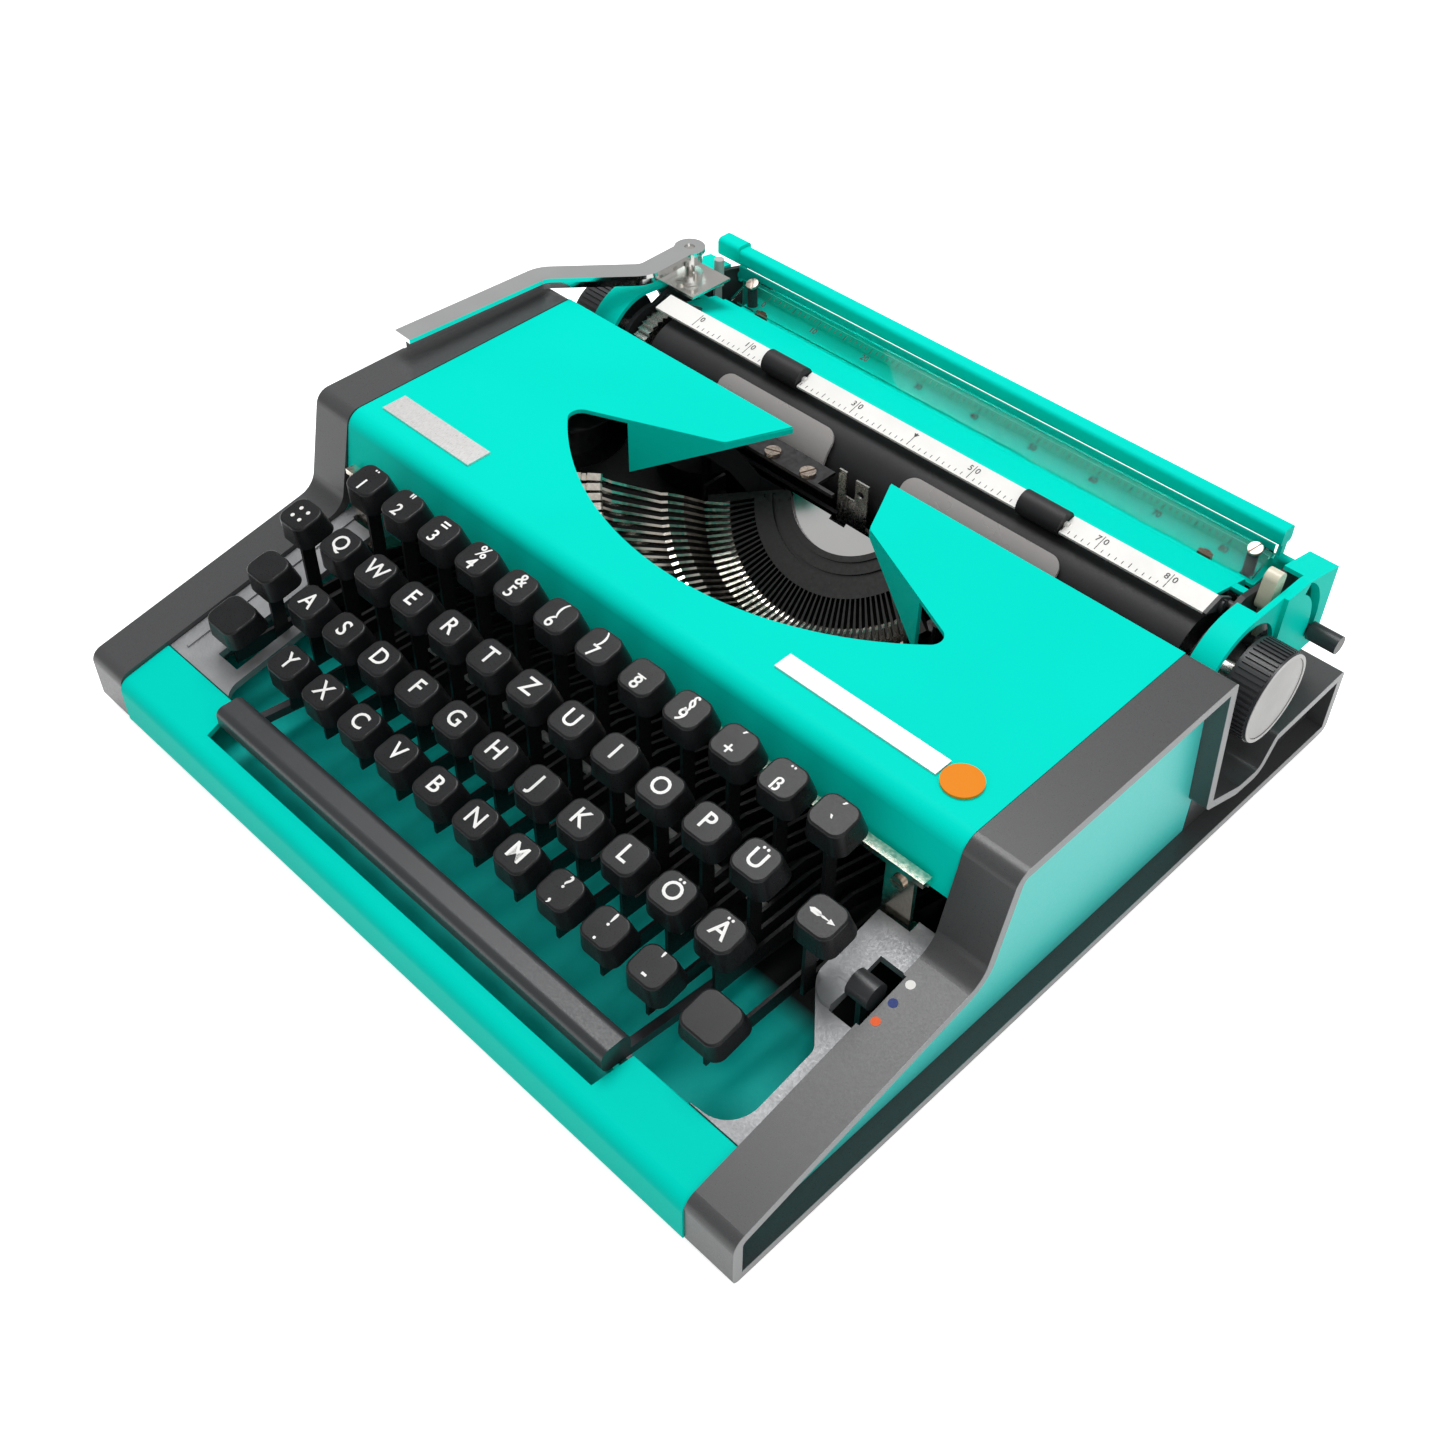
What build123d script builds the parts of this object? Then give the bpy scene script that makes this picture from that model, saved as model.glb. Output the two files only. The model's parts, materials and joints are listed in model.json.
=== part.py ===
from build123d import *
from math import atan2, cos, degrees, radians, sin
import os

# A flat portable typewriter.  Millimetres, X to the typist's right, Y away from the
# typist, Z up.  The origin is on the desk, under the middle of the footprint, and the
# print point lies at X = 0.

# ---- driving dimensions -------------------------------------------------------------
KEY_PITCH = 19.0
CHARACTER_PITCH = 2.6
BODY_WIDTH = 310.0
BODY_DEPTH = 292.0
BAND_WIDTH = 18.0
BAND_WALL = 3.4
SHEET = 1.5
FOOT_HEIGHT = 3.0
GAP = 0.3

HALF_WIDTH = BODY_WIDTH / 2
INNER_HALF = HALF_WIDTH - BAND_WIDTH
FRONT = -BODY_DEPTH / 2
REAR = BODY_DEPTH / 2

# ---- side profile of the body (Y, Z) ------------------------------------------------
KNEE = (-50.0, 44.0)
FRONT_TOP = (FRONT, 23.5)
DECK_FRONT = (-41.2, 80.3)
DECK_REAR = (60.7, 82.4)
WELL_FRONT = (68.5, 25.6)
WELL_MIDDLE = (86.0, 19.1)
WELL_REAR = (97.5, 18.7)
SHELF_FRONT = (103.6, 30.0)
SHELF_REAR = (REAR - 0.8, 31.5)
SLOPE = (KNEE[1] - FRONT_TOP[1]) / (KNEE[0] - FRONT_TOP[0])
DECK_SLOPE = (DECK_REAR[1] - DECK_FRONT[1]) / (DECK_REAR[0] - DECK_FRONT[0])
FLOOR_TOP = 11.0

# ---- platen, carriage and print point -----------------------------------------------
PLATEN_Y = 86.0
PLATEN_Z = 60.0
PLATEN_RADIUS = 15.8
SHAFT_RADIUS = 4.0
KNOB_RADIUS = 16.0
FIT = 0.06
PLATE_LEFT = -121.0
PLATE_RIGHT = 133.0
PLATE_THICKNESS = 2.0
SCALE_ZERO = -94.4
PRINT_TILT = 42.0
PRINT_POINT = (0.0, 70.9, 65.3)

# ---- type basket --------------------------------------------------------------------
TYPE_COUNT = 44
TYPE_STEP = 2.55
HINGE_RADIUS = 53.2
REST_SWING = 118.0
H_BAR = 22
SEGMENT_TOP = 2.0
SEGMENT_BOTTOM = -9.0
SLOT_FLOOR = -5.0
SLOT_WIDTH = 1.3
TYPE_BAR_THICKNESS = 1.0
TYPE_SLUG_WIDTH = 2.6

# ---- keys ---------------------------------------------------------------------------
LEVER_PIVOT = (14.0, 18.0)
LEVER_THICKNESS = 1.2
PIVOT_RADIUS = 2.0
CAP_TILT = 12.0
CAP_HEIGHT = 8.5
CAP_TOP = 12.6
CAP_BASE = 15.2
# each row: first key's X, Y, height of the cap's top, number of keys
NUMBER_ROW = (-104.5, -57.5, 77.7, 12)
UPPER_ROW = (-95.6, -76.9, 66.7, 11)
HOME_ROW = (-91.4, -94.7, 55.3, 11)
LOWER_ROW = (-82.5, -110.9, 44.8, 10)
H_INDEX = 5

os.makedirs("parts", exist_ok=True)


# ---- shared helpers -----------------------------------------------------------------
def block(x, y, z, mode=Mode.ADD):
    """Add a box given as three (low, high) pairs."""
    spans = (x, y, z)
    with Locations(tuple((low + high) / 2 for low, high in spans)):
        Box(*(high - low for low, high in spans), mode=mode)


def slab(points, x0, x1, mode=Mode.ADD):
    """Extrude a closed (Y, Z) outline from X = x0 to X = x1."""
    with BuildSketch(Plane.YZ.offset(x0)) as face:
        with BuildLine():
            Polyline(*points, close=True)
        make_face()
    extrude(face.sketch, amount=x1 - x0, mode=mode)


def rod(y, z, x0, x1, radius, mode=Mode.ADD):
    """Add a round bar along X."""
    with BuildSketch(Plane.YZ.offset(x0)) as face:
        with Locations((y, z)):
            Circle(radius)
    extrude(face.sketch, amount=x1 - x0, mode=mode)


def shell_arc(inner, outer, start, end, x0, x1, y=PLATEN_Y, z=PLATEN_Z):
    """Add a curved plate round an X axis, between two angles from +Y towards +Z."""
    with BuildSketch(Plane.YZ.offset(x0)) as face:
        with BuildLine():
            low = CenterArc((y, z), inner, start, end - start)
            high = CenterArc((y, z), outer, start, end - start)
            Line(low @ 0, high @ 0)
            Line(low @ 1, high @ 1)
        make_face()
    extrude(face.sketch, amount=x1 - x0)


def save(builder, name):
    """Label a finished sub-part and write it."""
    builder.part.label = name
    export_step(builder.part, f"parts/{name}.step")


def slope_z(y, drop=0.0):
    """Height of the sloping side band at a given Y, less a drop."""
    return FRONT_TOP[1] + SLOPE * (y - FRONT) - drop


def deck_z(y, drop=0.0):
    """Height of the deck at a given Y, less a drop."""
    return DECK_FRONT[1] + DECK_SLOPE * (y - DECK_FRONT[0]) - drop


# ---- side frames: one moulded ribbon that runs right round each side ----------------
RIBBON = (
    ((FRONT, FOOT_HEIGHT), 2.5),
    (FRONT_TOP, 5.0),
    (KNEE, 9.0),
    (DECK_FRONT, 6.0),
    (DECK_REAR, 2.0),
    (WELL_FRONT, 0.6),
    (WELL_MIDDLE, 8.0),
    (WELL_REAR, 4.0),
    (SHELF_FRONT, 3.0),
    (SHELF_REAR, 2.0),
    ((REAR, FOOT_HEIGHT), 3.0),
)
WEB_START = 68.0


def ribbon_face(x, inset=0.0):
    """The area inside the side ribbon's outer line at a given X, drawn in by an inset."""
    with BuildSketch(Plane.YZ.offset(x)) as face:
        with BuildLine():
            FilletPolyline(*(p for p, r in RIBBON), radius=[r for p, r in RIBBON], close=True)
        make_face()
        if inset:
            offset(amount=-inset, mode=Mode.REPLACE)
    return face.sketch


def side_frame(side):
    """One side's ribbon, with its rear web and the ledge that carries the cover."""
    inner_x = side * INNER_HALF
    with BuildPart() as frame:
        extrude(ribbon_face(inner_x), amount=side * BAND_WIDTH)
        extrude(ribbon_face(inner_x, BAND_WALL), amount=side * BAND_WIDTH, mode=Mode.SUBTRACT)
        with BuildPart(mode=Mode.PRIVATE) as web:
            extrude(ribbon_face(side * 146.4, 1.0), amount=side * 2.0)
            block((-160, 160), (-200, WEB_START), (-5, 100), Mode.SUBTRACT)
        add(web.part)
        ledge = (
            (-36.0, deck_z(-36.0, 4.6)),
            (58.0, deck_z(58.0, 4.6)),
            (58.0, deck_z(58.0, 1.85)),
            (-36.0, deck_z(-36.0, 1.85)),
        )
        slab(ledge, side * (INNER_HALF - 2.5), side * (INNER_HALF + 1))
    return frame


left_side_frame = side_frame(-1)
save(left_side_frame, "left_side_frame")
right_side_frame = side_frame(1)
with BuildPart() as notched:
    add(right_side_frame.part)
    slab(((-81, 30), (-62, 34), (-62, 60), (-81, 60)), INNER_HALF - 1, INNER_HALF + 1.2, Mode.SUBTRACT)
save(notched, "right_side_frame")

with BuildPart() as side_panels:
    for side in (-1, 1):
        with BuildPart(mode=Mode.PRIVATE) as panel:
            extrude(ribbon_face(side * 146.4, BAND_WALL + 0.1), amount=side * 1.9)
            block((-160, 160), (WEB_START - 0.1, 200), (-5, 100), Mode.SUBTRACT)
        add(panel.part)
save(side_panels, "side_panels")

# ---- base pan, front bar and keyboard frame -----------------------------------------
PAN_HALF = INNER_HALF - 0.2
with BuildPart() as base_pan:
    block((-PAN_HALF, PAN_HALF), (-143, 144.2), (FLOOR_TOP - SHEET, FLOOR_TOP))
    block((-PAN_HALF, PAN_HALF), (142.7, 144.2), (FLOOR_TOP, 29.5))
    block((-PAN_HALF, PAN_HALF), (128.0, 144.2), (28.0, 29.5))
    for side in (-1, 1):
        block((side * (PAN_HALF - 0.75) - 0.75, side * (PAN_HALF - 0.75) + 0.75), (-44, 142.7), (FLOOR_TOP, 16))
save(base_pan, "base_pan")

BAR_TOP_FRONT = (FRONT - 0.6, 21.8)
BAR_TOP_REAR = (-125.7, 26.4)
with BuildPart() as front_bar:
    with BuildSketch(Plane.YZ.offset(-PAN_HALF)):
        with BuildLine():
            FilletPolyline(
                (FRONT - 0.6, 5.0),
                BAR_TOP_FRONT,
                BAR_TOP_REAR,
                (-125.7, FLOOR_TOP),
                (-127.7, FLOOR_TOP),
                (-127.7, 23.9),
                (-144.0, 20.2),
                (-144.0, 5.0),
                radius=[0.4, 5.0, 0.8, 0.4, 0.4, 0.5, 3.0, 0.4],
                close=True,
            )
        make_face()
    extrude(amount=2 * PAN_HALF)
    with BuildSketch(Plane.XY.offset(14)):
        with BuildLine():
            Polyline((-93.4, -139.5), (94.0, -139.5), (97.8, -120), (-97.4, -120), close=True)
        make_face()
    extrude(amount=30, mode=Mode.SUBTRACT)
save(front_bar, "front_bar")

FRAME_DROP = 1.9
BOSS = (125.7, -76.7)
FRAME_THICKNESS = 2.6
with BuildPart() as keyboard_frame:
    slab(
        (
            (-125.4, slope_z(-125.4, FRAME_DROP + FRAME_THICKNESS)),
            (-46.0, slope_z(-46.0, FRAME_DROP + FRAME_THICKNESS)),
            (-46.0, slope_z(-46.0, FRAME_DROP)),
            (-125.4, slope_z(-125.4, FRAME_DROP)),
        ),
        -PAN_HALF,
        PAN_HALF,
    )
    with Locations((BOSS[0], BOSS[1], slope_z(BOSS[1], FRAME_DROP))):
        Cylinder(5.2, 1.6)
    with BuildSketch(Plane.XY):
        with BuildLine():
            FilletPolyline(
                (-104, -127),
                (-104, -90),
                (-119.5, -86),
                (-119.5, -40),
                (117.6, -40),
                (117.6, -76),
                (133, -93),
                (133, -124),
                (100, -127),
                (0, -128),
                radius=[7, 1, 1, 2, 2, 8, 4, 11, 1, 1],
                close=True,
            )
        make_face()
        with Locations((-114, -80)):
            Rectangle(11, 74)
        with Locations((-125.5, -45), (122.6, -45)):
            Rectangle(13.0, 10)
        with Locations((132.6, -71.3)):
            Rectangle(9.4, 21.4)
    extrude(amount=80, mode=Mode.SUBTRACT)
    edge = [(y, slope_z(y, FRAME_DROP + drop)) for y, drop in ((-122, 0.5), (-50, 0.5), (-50, -0.7), (-122, -0.7))]
    slab(edge, -131.6, -130.4)
    for x in (-134.8, 134.8):
        block((x - 1.2, x + 1.2), (-124, -80), (FLOOR_TOP, slope_z(-124, FRAME_DROP + 1)))
    block((-134, 134), (-124, -122), (FLOOR_TOP, 17.0))
save(keyboard_frame, "keyboard_frame")

with BuildPart() as feet:
    for x in (-146, 146):
        for y in (-128, 126):
            with Locations((x, y, (FOOT_HEIGHT + 0.0) / 2)):
                Cylinder(6.0, FOOT_HEIGHT)
save(feet, "feet")

# ---- top cover with the type basket opening -----------------------------------------
WING = ((-21.5, 62.0), (-32.5, 38.0), (-96.0, 10.6))
COVER_HALF = INNER_HALF - GAP
with BuildPart() as top_cover:
    with BuildSketch(Plane.YZ.offset(-COVER_HALF)):
        with BuildLine():
            FilletPolyline(
                (60.5, deck_z(60.5, 0.2)),
                (60.5, deck_z(60.5, 0.2 + SHEET)),
                (-39.7, deck_z(-39.7, 0.2 + SHEET)),
                (-43.6, 58.8),
                (-45.1, 58.8),
                (-41.2, deck_z(-41.2, 0.2)),
                radius=[0.3, 0.3, 5.0, 0.3, 0.3, 6.5],
                close=True,
            )
        make_face()
    extrude(amount=2 * COVER_HALF)
    with BuildSketch(Plane.XY.offset(70)) as opening:
        with Locations((0, 96)):
            Circle(118)
        with BuildLine():
            Polyline(
                (WING[0][0], 90),
                *WING,
                (-96, -60),
                (96, -60),
                *((-x, y) for x, y in reversed(WING)),
                (-WING[0][0], 90),
                close=True,
            )
        make_face(mode=Mode.INTERSECT)
        corners = opening.vertices().filter_by(lambda v: 8 < v.Y < 25)
        fillet(corners, 4.5)
        fillet(opening.vertices().filter_by(lambda v: 37 < v.Y < 39), 4)
    extrude(amount=20, mode=Mode.SUBTRACT)
    for side in (-1, 1):
        edge = [(side * -x, y) for x, y in ((-65.5, 23.8), (-32.5, 38.0), (-21.9, 60.3))]
        depths = (21.5, 2.6, 1.9)
        for (a, b), (da, db) in zip(zip(edge, edge[1:]), zip(depths, depths[1:])):
            run = Vector(b[0] - a[0], b[1] - a[1], 0)
            face_plane = Plane((a[0], a[1], 0), x_dir=run.normalized(), z_dir=run.normalized().cross(Vector(0, 0, 1)))
            top_a = deck_z(a[1], 0.8)
            top_b = deck_z(b[1], 0.8)
            with BuildSketch(face_plane):
                with BuildLine():
                    Polyline(
                        (0, top_a),
                        (run.length, top_b),
                        (run.length, top_b - db),
                        (0, top_a - da),
                        close=True,
                    )
                make_face()
            extrude(amount=side * 1.2)
save(top_cover, "top_cover")

# ---- name plates, badge, guide rail, shafts, rails ----------------------------------
def on_deck(x0, x1, y0, y1, low, high):
    """Add a thin plate lying on the sloping deck."""
    slab(((y0, deck_z(y0, -low)), (y1, deck_z(y1, -low)), (y1, deck_z(y1, -high)), (y0, deck_z(y0, -high))), x0, x1)


with BuildPart() as name_plates:
    on_deck(-130.3, -84.0, -31.3, -21.5, -0.2, 0.5)
    on_deck(54.7, 115.9, -29.0, -22.0, -0.2, 0.5)
save(name_plates, "name_plates")

with BuildPart() as badge_disc:
    with Locations((122.8, -25.7, deck_z(-25.7, 0.2) + 0.5)):
        Cylinder(6.35, 0.8, rotation=(1.18, 0, 0))
save(badge_disc, "badge_disc")

RAIL_Y = (-49.5, -45.7)
RAIL_Z = (62.0, 64.0)
RAIL_ENDS = ((-131.0, -120.5), (117.0, 127.4))
with BuildPart() as key_guide_rail:
    block((-131, 131), RAIL_Y, RAIL_Z)
    block((-131, 131), (-46.9, -45.7), (60.5, 62.0))
    for low, high in RAIL_ENDS:
        block((low, high), (-48.5, -46.9), (27.0, 62.0))
        block((low, high), (-48.5, -36.0), (25.5, 27.0))
save(key_guide_rail, "key_guide_rail")

PIVOT_Y, PIVOT_Z = LEVER_PIVOT
with BuildPart() as lever_shaft:
    rod(PIVOT_Y, PIVOT_Z, -133, 133, PIVOT_RADIUS)
    for x in (-132.4, 132.4):
        block((x - 1.2, x + 1.2), (PIVOT_Y - 6, PIVOT_Y + 6), (FLOOR_TOP, PIVOT_Z - 1.5))
save(lever_shaft, "lever_shaft")

T_RAIL_Z = 38.0
with BuildPart() as carriage_rail:
    block((-INNER_HALF + 2.4, INNER_HALF - 2.4), (114, 117), (FLOOR_TOP, T_RAIL_Z - 1.6))
    block((-INNER_HALF + 2.4, INNER_HALF - 2.4), (109, 122), (T_RAIL_Z - 1.6, T_RAIL_Z))
save(carriage_rail, "carriage_rail")


# ---- keys ---------------------------------------------------------------------------
def key_cap(width=CAP_BASE, depth=14.2, height=CAP_HEIGHT, shrink=2.2):
    """A keycap with its top centred on the origin, tapering down and leaning forward."""
    with BuildPart() as cap:
        with BuildSketch(Plane.XY.offset(-height)):
            RectangleRounded(width, depth, 4.0)
        with BuildSketch(Plane.XY):
            RectangleRounded(width - shrink, depth - shrink, 3.8)
        loft()
        fillet(cap.faces().sort_by(Axis.Z)[-1].edges(), 0.8)
    return cap.part


STEM_DEPTH = 5.0
LEVER_HEIGHT = 6.0
STANDARD_CAP = key_cap()


def lever_blade(x, stem_y, stem_top, front_top=34.0):
    """A key lever: stem, blade and pivot eye, cut from one thin plate."""
    half = LEVER_THICKNESS / 2
    stem = STEM_DEPTH / 2
    low = front_top - LEVER_HEIGHT
    points = (
        (stem_y - stem, low),
        (-46.0, low),
        (-12.0, 15.6),
        (PIVOT_Y, 14.6),
        (PIVOT_Y + 3.6, PIVOT_Z),
        (PIVOT_Y, 21.4),
        (-10.0, 22.0),
        (-46.0, front_top),
        (stem_y + stem, front_top),
        (stem_y + stem, stem_top),
        (stem_y - stem, stem_top),
    )
    slab(points, x - half, x + half)
    rod(PIVOT_Y, PIVOT_Z, x - half - 0.1, x + half + 0.1, PIVOT_RADIUS + 0.05, Mode.SUBTRACT)


def key(x, y, z, cap=STANDARD_CAP, front_top=34.0, lever_x=None, stem_drop=9.3):
    """Place one key: a cap standing on its lever."""
    with BuildPart(mode=Mode.PRIVATE) as lever:
        lever_blade(x if lever_x is None else lever_x, y, z - stem_drop, front_top)
    add(lever.part)
    with Locations(Location((x, y, z), (CAP_TILT, 0, 0))):
        add(cap)


def key_row(row, skip=()):
    """Build one row of keys at the shared pitch."""
    x0, y, z, count = row
    with BuildPart() as keys:
        for index in range(count):
            if index not in skip:
                key(x0 + index * KEY_PITCH, y, z, front_top=min(34.0, z - 14.0))
    return keys


number_row_keys = key_row(NUMBER_ROW)
save(number_row_keys, "number_row_keys")
upper_row_keys = key_row(UPPER_ROW)
save(upper_row_keys, "upper_row_keys")
home_row_keys = key_row(HOME_ROW, skip=(H_INDEX,))
save(home_row_keys, "home_row_keys")
lower_row_keys = key_row(LOWER_ROW)
save(lower_row_keys, "lower_row_keys")
with BuildPart() as h_key:
    key(HOME_ROW[0] + H_INDEX * KEY_PITCH, HOME_ROW[1], HOME_ROW[2])
save(h_key, "h_key")

SHIFT_ROD_Z = 31.3
SHIFT_ROD_RADIUS = 1.2
EDGE_CAP = key_cap(17.2, 15.8, 7.0)
WIDE_CAP = key_cap(17.0, 16.2, 7.0)
with BuildPart() as shift_keys:
    key(-114.0, -111.3, 45.5, EDGE_CAP, 31.5, stem_drop=7.8)
    key(112.0, -111.5, 45.5, WIDE_CAP, 31.5, stem_drop=7.8)
    rod(-14.0, SHIFT_ROD_Z, -113.35, 111.35, SHIFT_ROD_RADIUS)
    for x in (-114.0, 112.0):
        block((x - 0.6, x + 0.6), (-16.5, -11.5), (20.0, SHIFT_ROD_Z + SHIFT_ROD_RADIUS))
save(shift_keys, "shift_keys")

with BuildPart() as shift_lock_key:
    key(-110.6, -96.5, 59.7)
save(shift_lock_key, "shift_lock_key")
with BuildPart() as margin_release_key:
    key(-117.4, -77.3, 67.0)
save(margin_release_key, "margin_release_key")
with BuildPart() as backspace_key:
    key(119.0, -77.0, 64.0, lever_x=115.8)
save(backspace_key, "backspace_key")

with BuildPart() as space_bar:
    with BuildSketch(Plane.YZ.offset(-91.8)) as bar_end:
        with Locations((-130.0, 28.6)):
            RectangleRounded(10.8, 9.0, 3.0)
    extrude(bar_end.sketch, amount=185.8)
    arm = ((-132, 21.6), (-60, 13.2), (-54, 13.0), (-54, 16.0), (-125, 24.05), (-132, 24.05))
    for x in (-88.4, 91.4):
        slab(arm, x - 1.5, x + 1.5)
    rod(-56.0, 14.5, -86.85, 89.85, 1.5)
save(space_bar, "space_bar")

with BuildPart() as colour_selector:
    rod(-72.0, 39.6, 128.4, INNER_HALF - 0.7, 4.4)
    slab(((-73.6, 36), (-70.4, 36), (-70.6, 15), (-73.4, 15)), 130.6, 132.4)
    rod(-72.0, 14.6, 129.0, INNER_HALF - 2.6, 2.4)
save(colour_selector, "colour_selector")

# ---- type basket --------------------------------------------------------------------
TILT = radians(PRINT_TILT)
UP_ALONG = Vector(0, cos(TILT), sin(TILT))
OUT_OF_BASKET = Vector(0, -sin(TILT), cos(TILT))
BASKET = Plane(origin=PRINT_POINT, x_dir=(1, 0, 0), z_dir=OUT_OF_BASKET)
HINGE_DEPTH = -3.4
HINGE_WIRE = 0.6
SPREAD = TYPE_STEP * (TYPE_COUNT - 1) / 2


def type_angle(index):
    """Angle of a type bar from straight ahead, in degrees."""
    return -SPREAD + index * TYPE_STEP


with BuildPart() as type_segment:
    with BuildSketch(BASKET.offset(-7.5)):
        with BuildLine():
            outer = CenterArc((0, 0), 60.0, -90 - 59, 118)
            inner = CenterArc((0, 0), 26.2, -90 - 59, 118)
            Line(outer @ 0, inner @ 0)
            Line(outer @ 1, inner @ 1)
        make_face()
    extrude(amount=6.0)
    with BuildSketch(BASKET.offset(-2.4)):
        with BuildLine():
            groove_out = CenterArc((0, 0), 34.0, -90 - 57, 114)
            groove_in = CenterArc((0, 0), 32.6, -90 - 57, 114)
            Line(groove_out @ 0, groove_in @ 0)
            Line(groove_out @ 1, groove_in @ 1)
        make_face()
    extrude(amount=2.0, mode=Mode.SUBTRACT)
    with BuildSketch(BASKET.offset(-6.3)):
        for index in range(TYPE_COUNT):
            with Locations(Location((0, 0, 0), (0, 0, type_angle(index)))):
                with Locations((0, -51.5)):
                    Rectangle(SLOT_WIDTH, 20.8)
    extrude(amount=6.0, mode=Mode.SUBTRACT)
    with BuildSketch(BASKET.offset(-1.6)):
        with BuildLine():
            rim_out = CenterArc((0, 0), 28.4, -90 - 59, 118)
            rim_in = CenterArc((0, 0), 26.2, -90 - 59, 118)
            Line(rim_out @ 0, rim_in @ 0)
            Line(rim_out @ 1, rim_in @ 1)
        make_face()
    extrude(amount=0.9)
    hinge_plane = BASKET.offset(HINGE_DEPTH)
    reach = SPREAD + 1.6
    with BuildLine(hinge_plane) as hinge_line:
        CenterArc((0, 0), HINGE_RADIUS, -90 - reach, 2 * reach)
    with BuildSketch(Plane(origin=hinge_line.line @ 0, z_dir=hinge_line.line % 0)):
        Circle(HINGE_WIRE)
    sweep(path=hinge_line.line)
    block((-80, 80), (60.5, 90), (0, 90), Mode.SUBTRACT)
    for side in (-1, 1):
        low, high = sorted((side * 47.0, side * 53.0))
        block((low, high), (52.0, 57.0), (22.0, 41.0))
save(type_segment, "type_segment")


def swung(points, angle):
    """Turn (u, w) points about the type-bar hinge."""
    turn = radians(angle)
    result = []
    for u, w in points:
        du, dw = u - HINGE_RADIUS, w - HINGE_DEPTH
        result.append(
            (
                HINGE_RADIUS + du * cos(turn) - dw * sin(turn),
                HINGE_DEPTH + du * sin(turn) + dw * cos(turn),
            )
        )
    return result


FACE_ALONG = (0.875, -0.483)
FACE_OUT = (0.483, 0.875)


def on_face(along, out):
    """A point of the type slug, measured from the print point when the bar strikes."""
    return (along * FACE_ALONG[0] + out * FACE_OUT[0], along * FACE_ALONG[1] + out * FACE_OUT[1])


def type_bar(index):
    """Add one type bar at rest, leaning on the front of the basket."""
    angle = radians(type_angle(index))
    outward = Vector(sin(angle), 0, 0) - UP_ALONG * cos(angle)
    across = Vector(cos(angle), 0, 0) + UP_ALONG * sin(angle)
    arm = (
        (55.0, -4.6),
        (54.9, -2.0),
        (53.0, -0.9),
        (46.0, 1.2),
        (36.0, 0.6),
        (30.0, 1.6),
        (28.4, 2.9),
        (8.0, 3.4),
        on_face(0.0, 2.8),
        on_face(2.5, 1.4),
        (8.0, 1.2),
        (28.0, 0.9),
        (30.0, -0.5),
        (36.0, -1.6),
        (45.2, -1.2),
        (51.4, -4.2),
        (53.2, -5.4),
    )
    slug = (
        on_face(-9.5, 1.1),
        on_face(-9.0, 0.5),
        on_face(-4.5, 0.5),
        on_face(-4.0, 1.1),
        on_face(-2.7, 1.1),
        on_face(-2.2, 0.5),
        on_face(2.4, 0.5),
        on_face(3.0, 1.1),
        on_face(3.0, 3.2),
        on_face(-9.5, 3.2),
    )
    for outline, width in ((arm, TYPE_BAR_THICKNESS), (slug, TYPE_SLUG_WIDTH)):
        plane = Plane(origin=Vector(*PRINT_POINT) + across * (width / 2), x_dir=outward, z_dir=-across)
        with BuildSketch(plane) as face:
            with BuildLine():
                Polyline(*swung(outline, -REST_SWING), close=True)
            make_face()
            if outline is arm:
                with Locations((HINGE_RADIUS, HINGE_DEPTH)):
                    Circle(HINGE_WIRE + 0.08, mode=Mode.SUBTRACT)
        extrude(face.sketch, amount=width)


with BuildPart() as type_bars:
    for index in range(TYPE_COUNT):
        if index != H_BAR:
            type_bar(index)
save(type_bars, "type_bars")
with BuildPart() as type_bar_h:
    type_bar(H_BAR)
save(type_bar_h, "type_bar_h")

with BuildPart() as type_guide:
    with BuildSketch(BASKET.offset(-3.4)):
        Circle(26.17)
        with Locations((0, 13.6)):
            Rectangle(60, 56, mode=Mode.SUBTRACT)
        with Locations((0, -14.4)):
            Rectangle(7.0, 3.0, mode=Mode.SUBTRACT)
    extrude(amount=1.4)
save(type_guide, "type_guide")

with BuildPart() as basket_guides:
    for side in (-1, 1):
        low, high = sorted((side * 53.3, side * 54.6))
        guide = ((44, FLOOR_TOP), (60, FLOOR_TOP), (60, 46), (50, 46))
        slab(guide, low, high)
save(basket_guides, "basket_guides")

VIBRATOR_Y = (67.0, 67.7)
with BuildPart() as ribbon_vibrator:
    block((-5.8, 7.6), VIBRATOR_Y, (46, 60))
    block((-5.8, -2.4), VIBRATOR_Y, (60, 70))
    block((1.9, 7.6), VIBRATOR_Y, (60, 69))
    with Locations(Location((4.4, VIBRATOR_Y[0], 64.0), (90, 0, 0))):
        Cylinder(1.4, 3, mode=Mode.SUBTRACT)
    block((-2.0, 6.0), VIBRATOR_Y, (24, 46))
save(ribbon_vibrator, "ribbon_vibrator")

RIBBON_LOW = 35.0
RIBBON_HEIGHT = 13.0
SPOOL_X = 103.0
SPOOL_Y = 24.0
SPOOL_BASE = 58.5
with BuildPart() as ribbon:
    block((-42, 42), (66.0, 66.3), (RIBBON_LOW, RIBBON_LOW + RIBBON_HEIGHT))
    for side in (-1, 1):
        ends = (
            (42, 66.15, RIBBON_LOW),
            (52, 60.5, 47.5),
            (70, 50.0, SPOOL_BASE + 1),
            (SPOOL_X, SPOOL_Y + 19.0, SPOOL_BASE + 1),
        )
        sections = []
        for x, y, z in ends:
            with BuildSketch(Plane.YZ.offset(side * x)) as cut:
                with Locations((y, z + RIBBON_HEIGHT / 2)):
                    Rectangle(0.32, RIBBON_HEIGHT)
            sections.append(cut.sketch)
        loft(sections, ruled=True)
save(ribbon, "ribbon")


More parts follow.
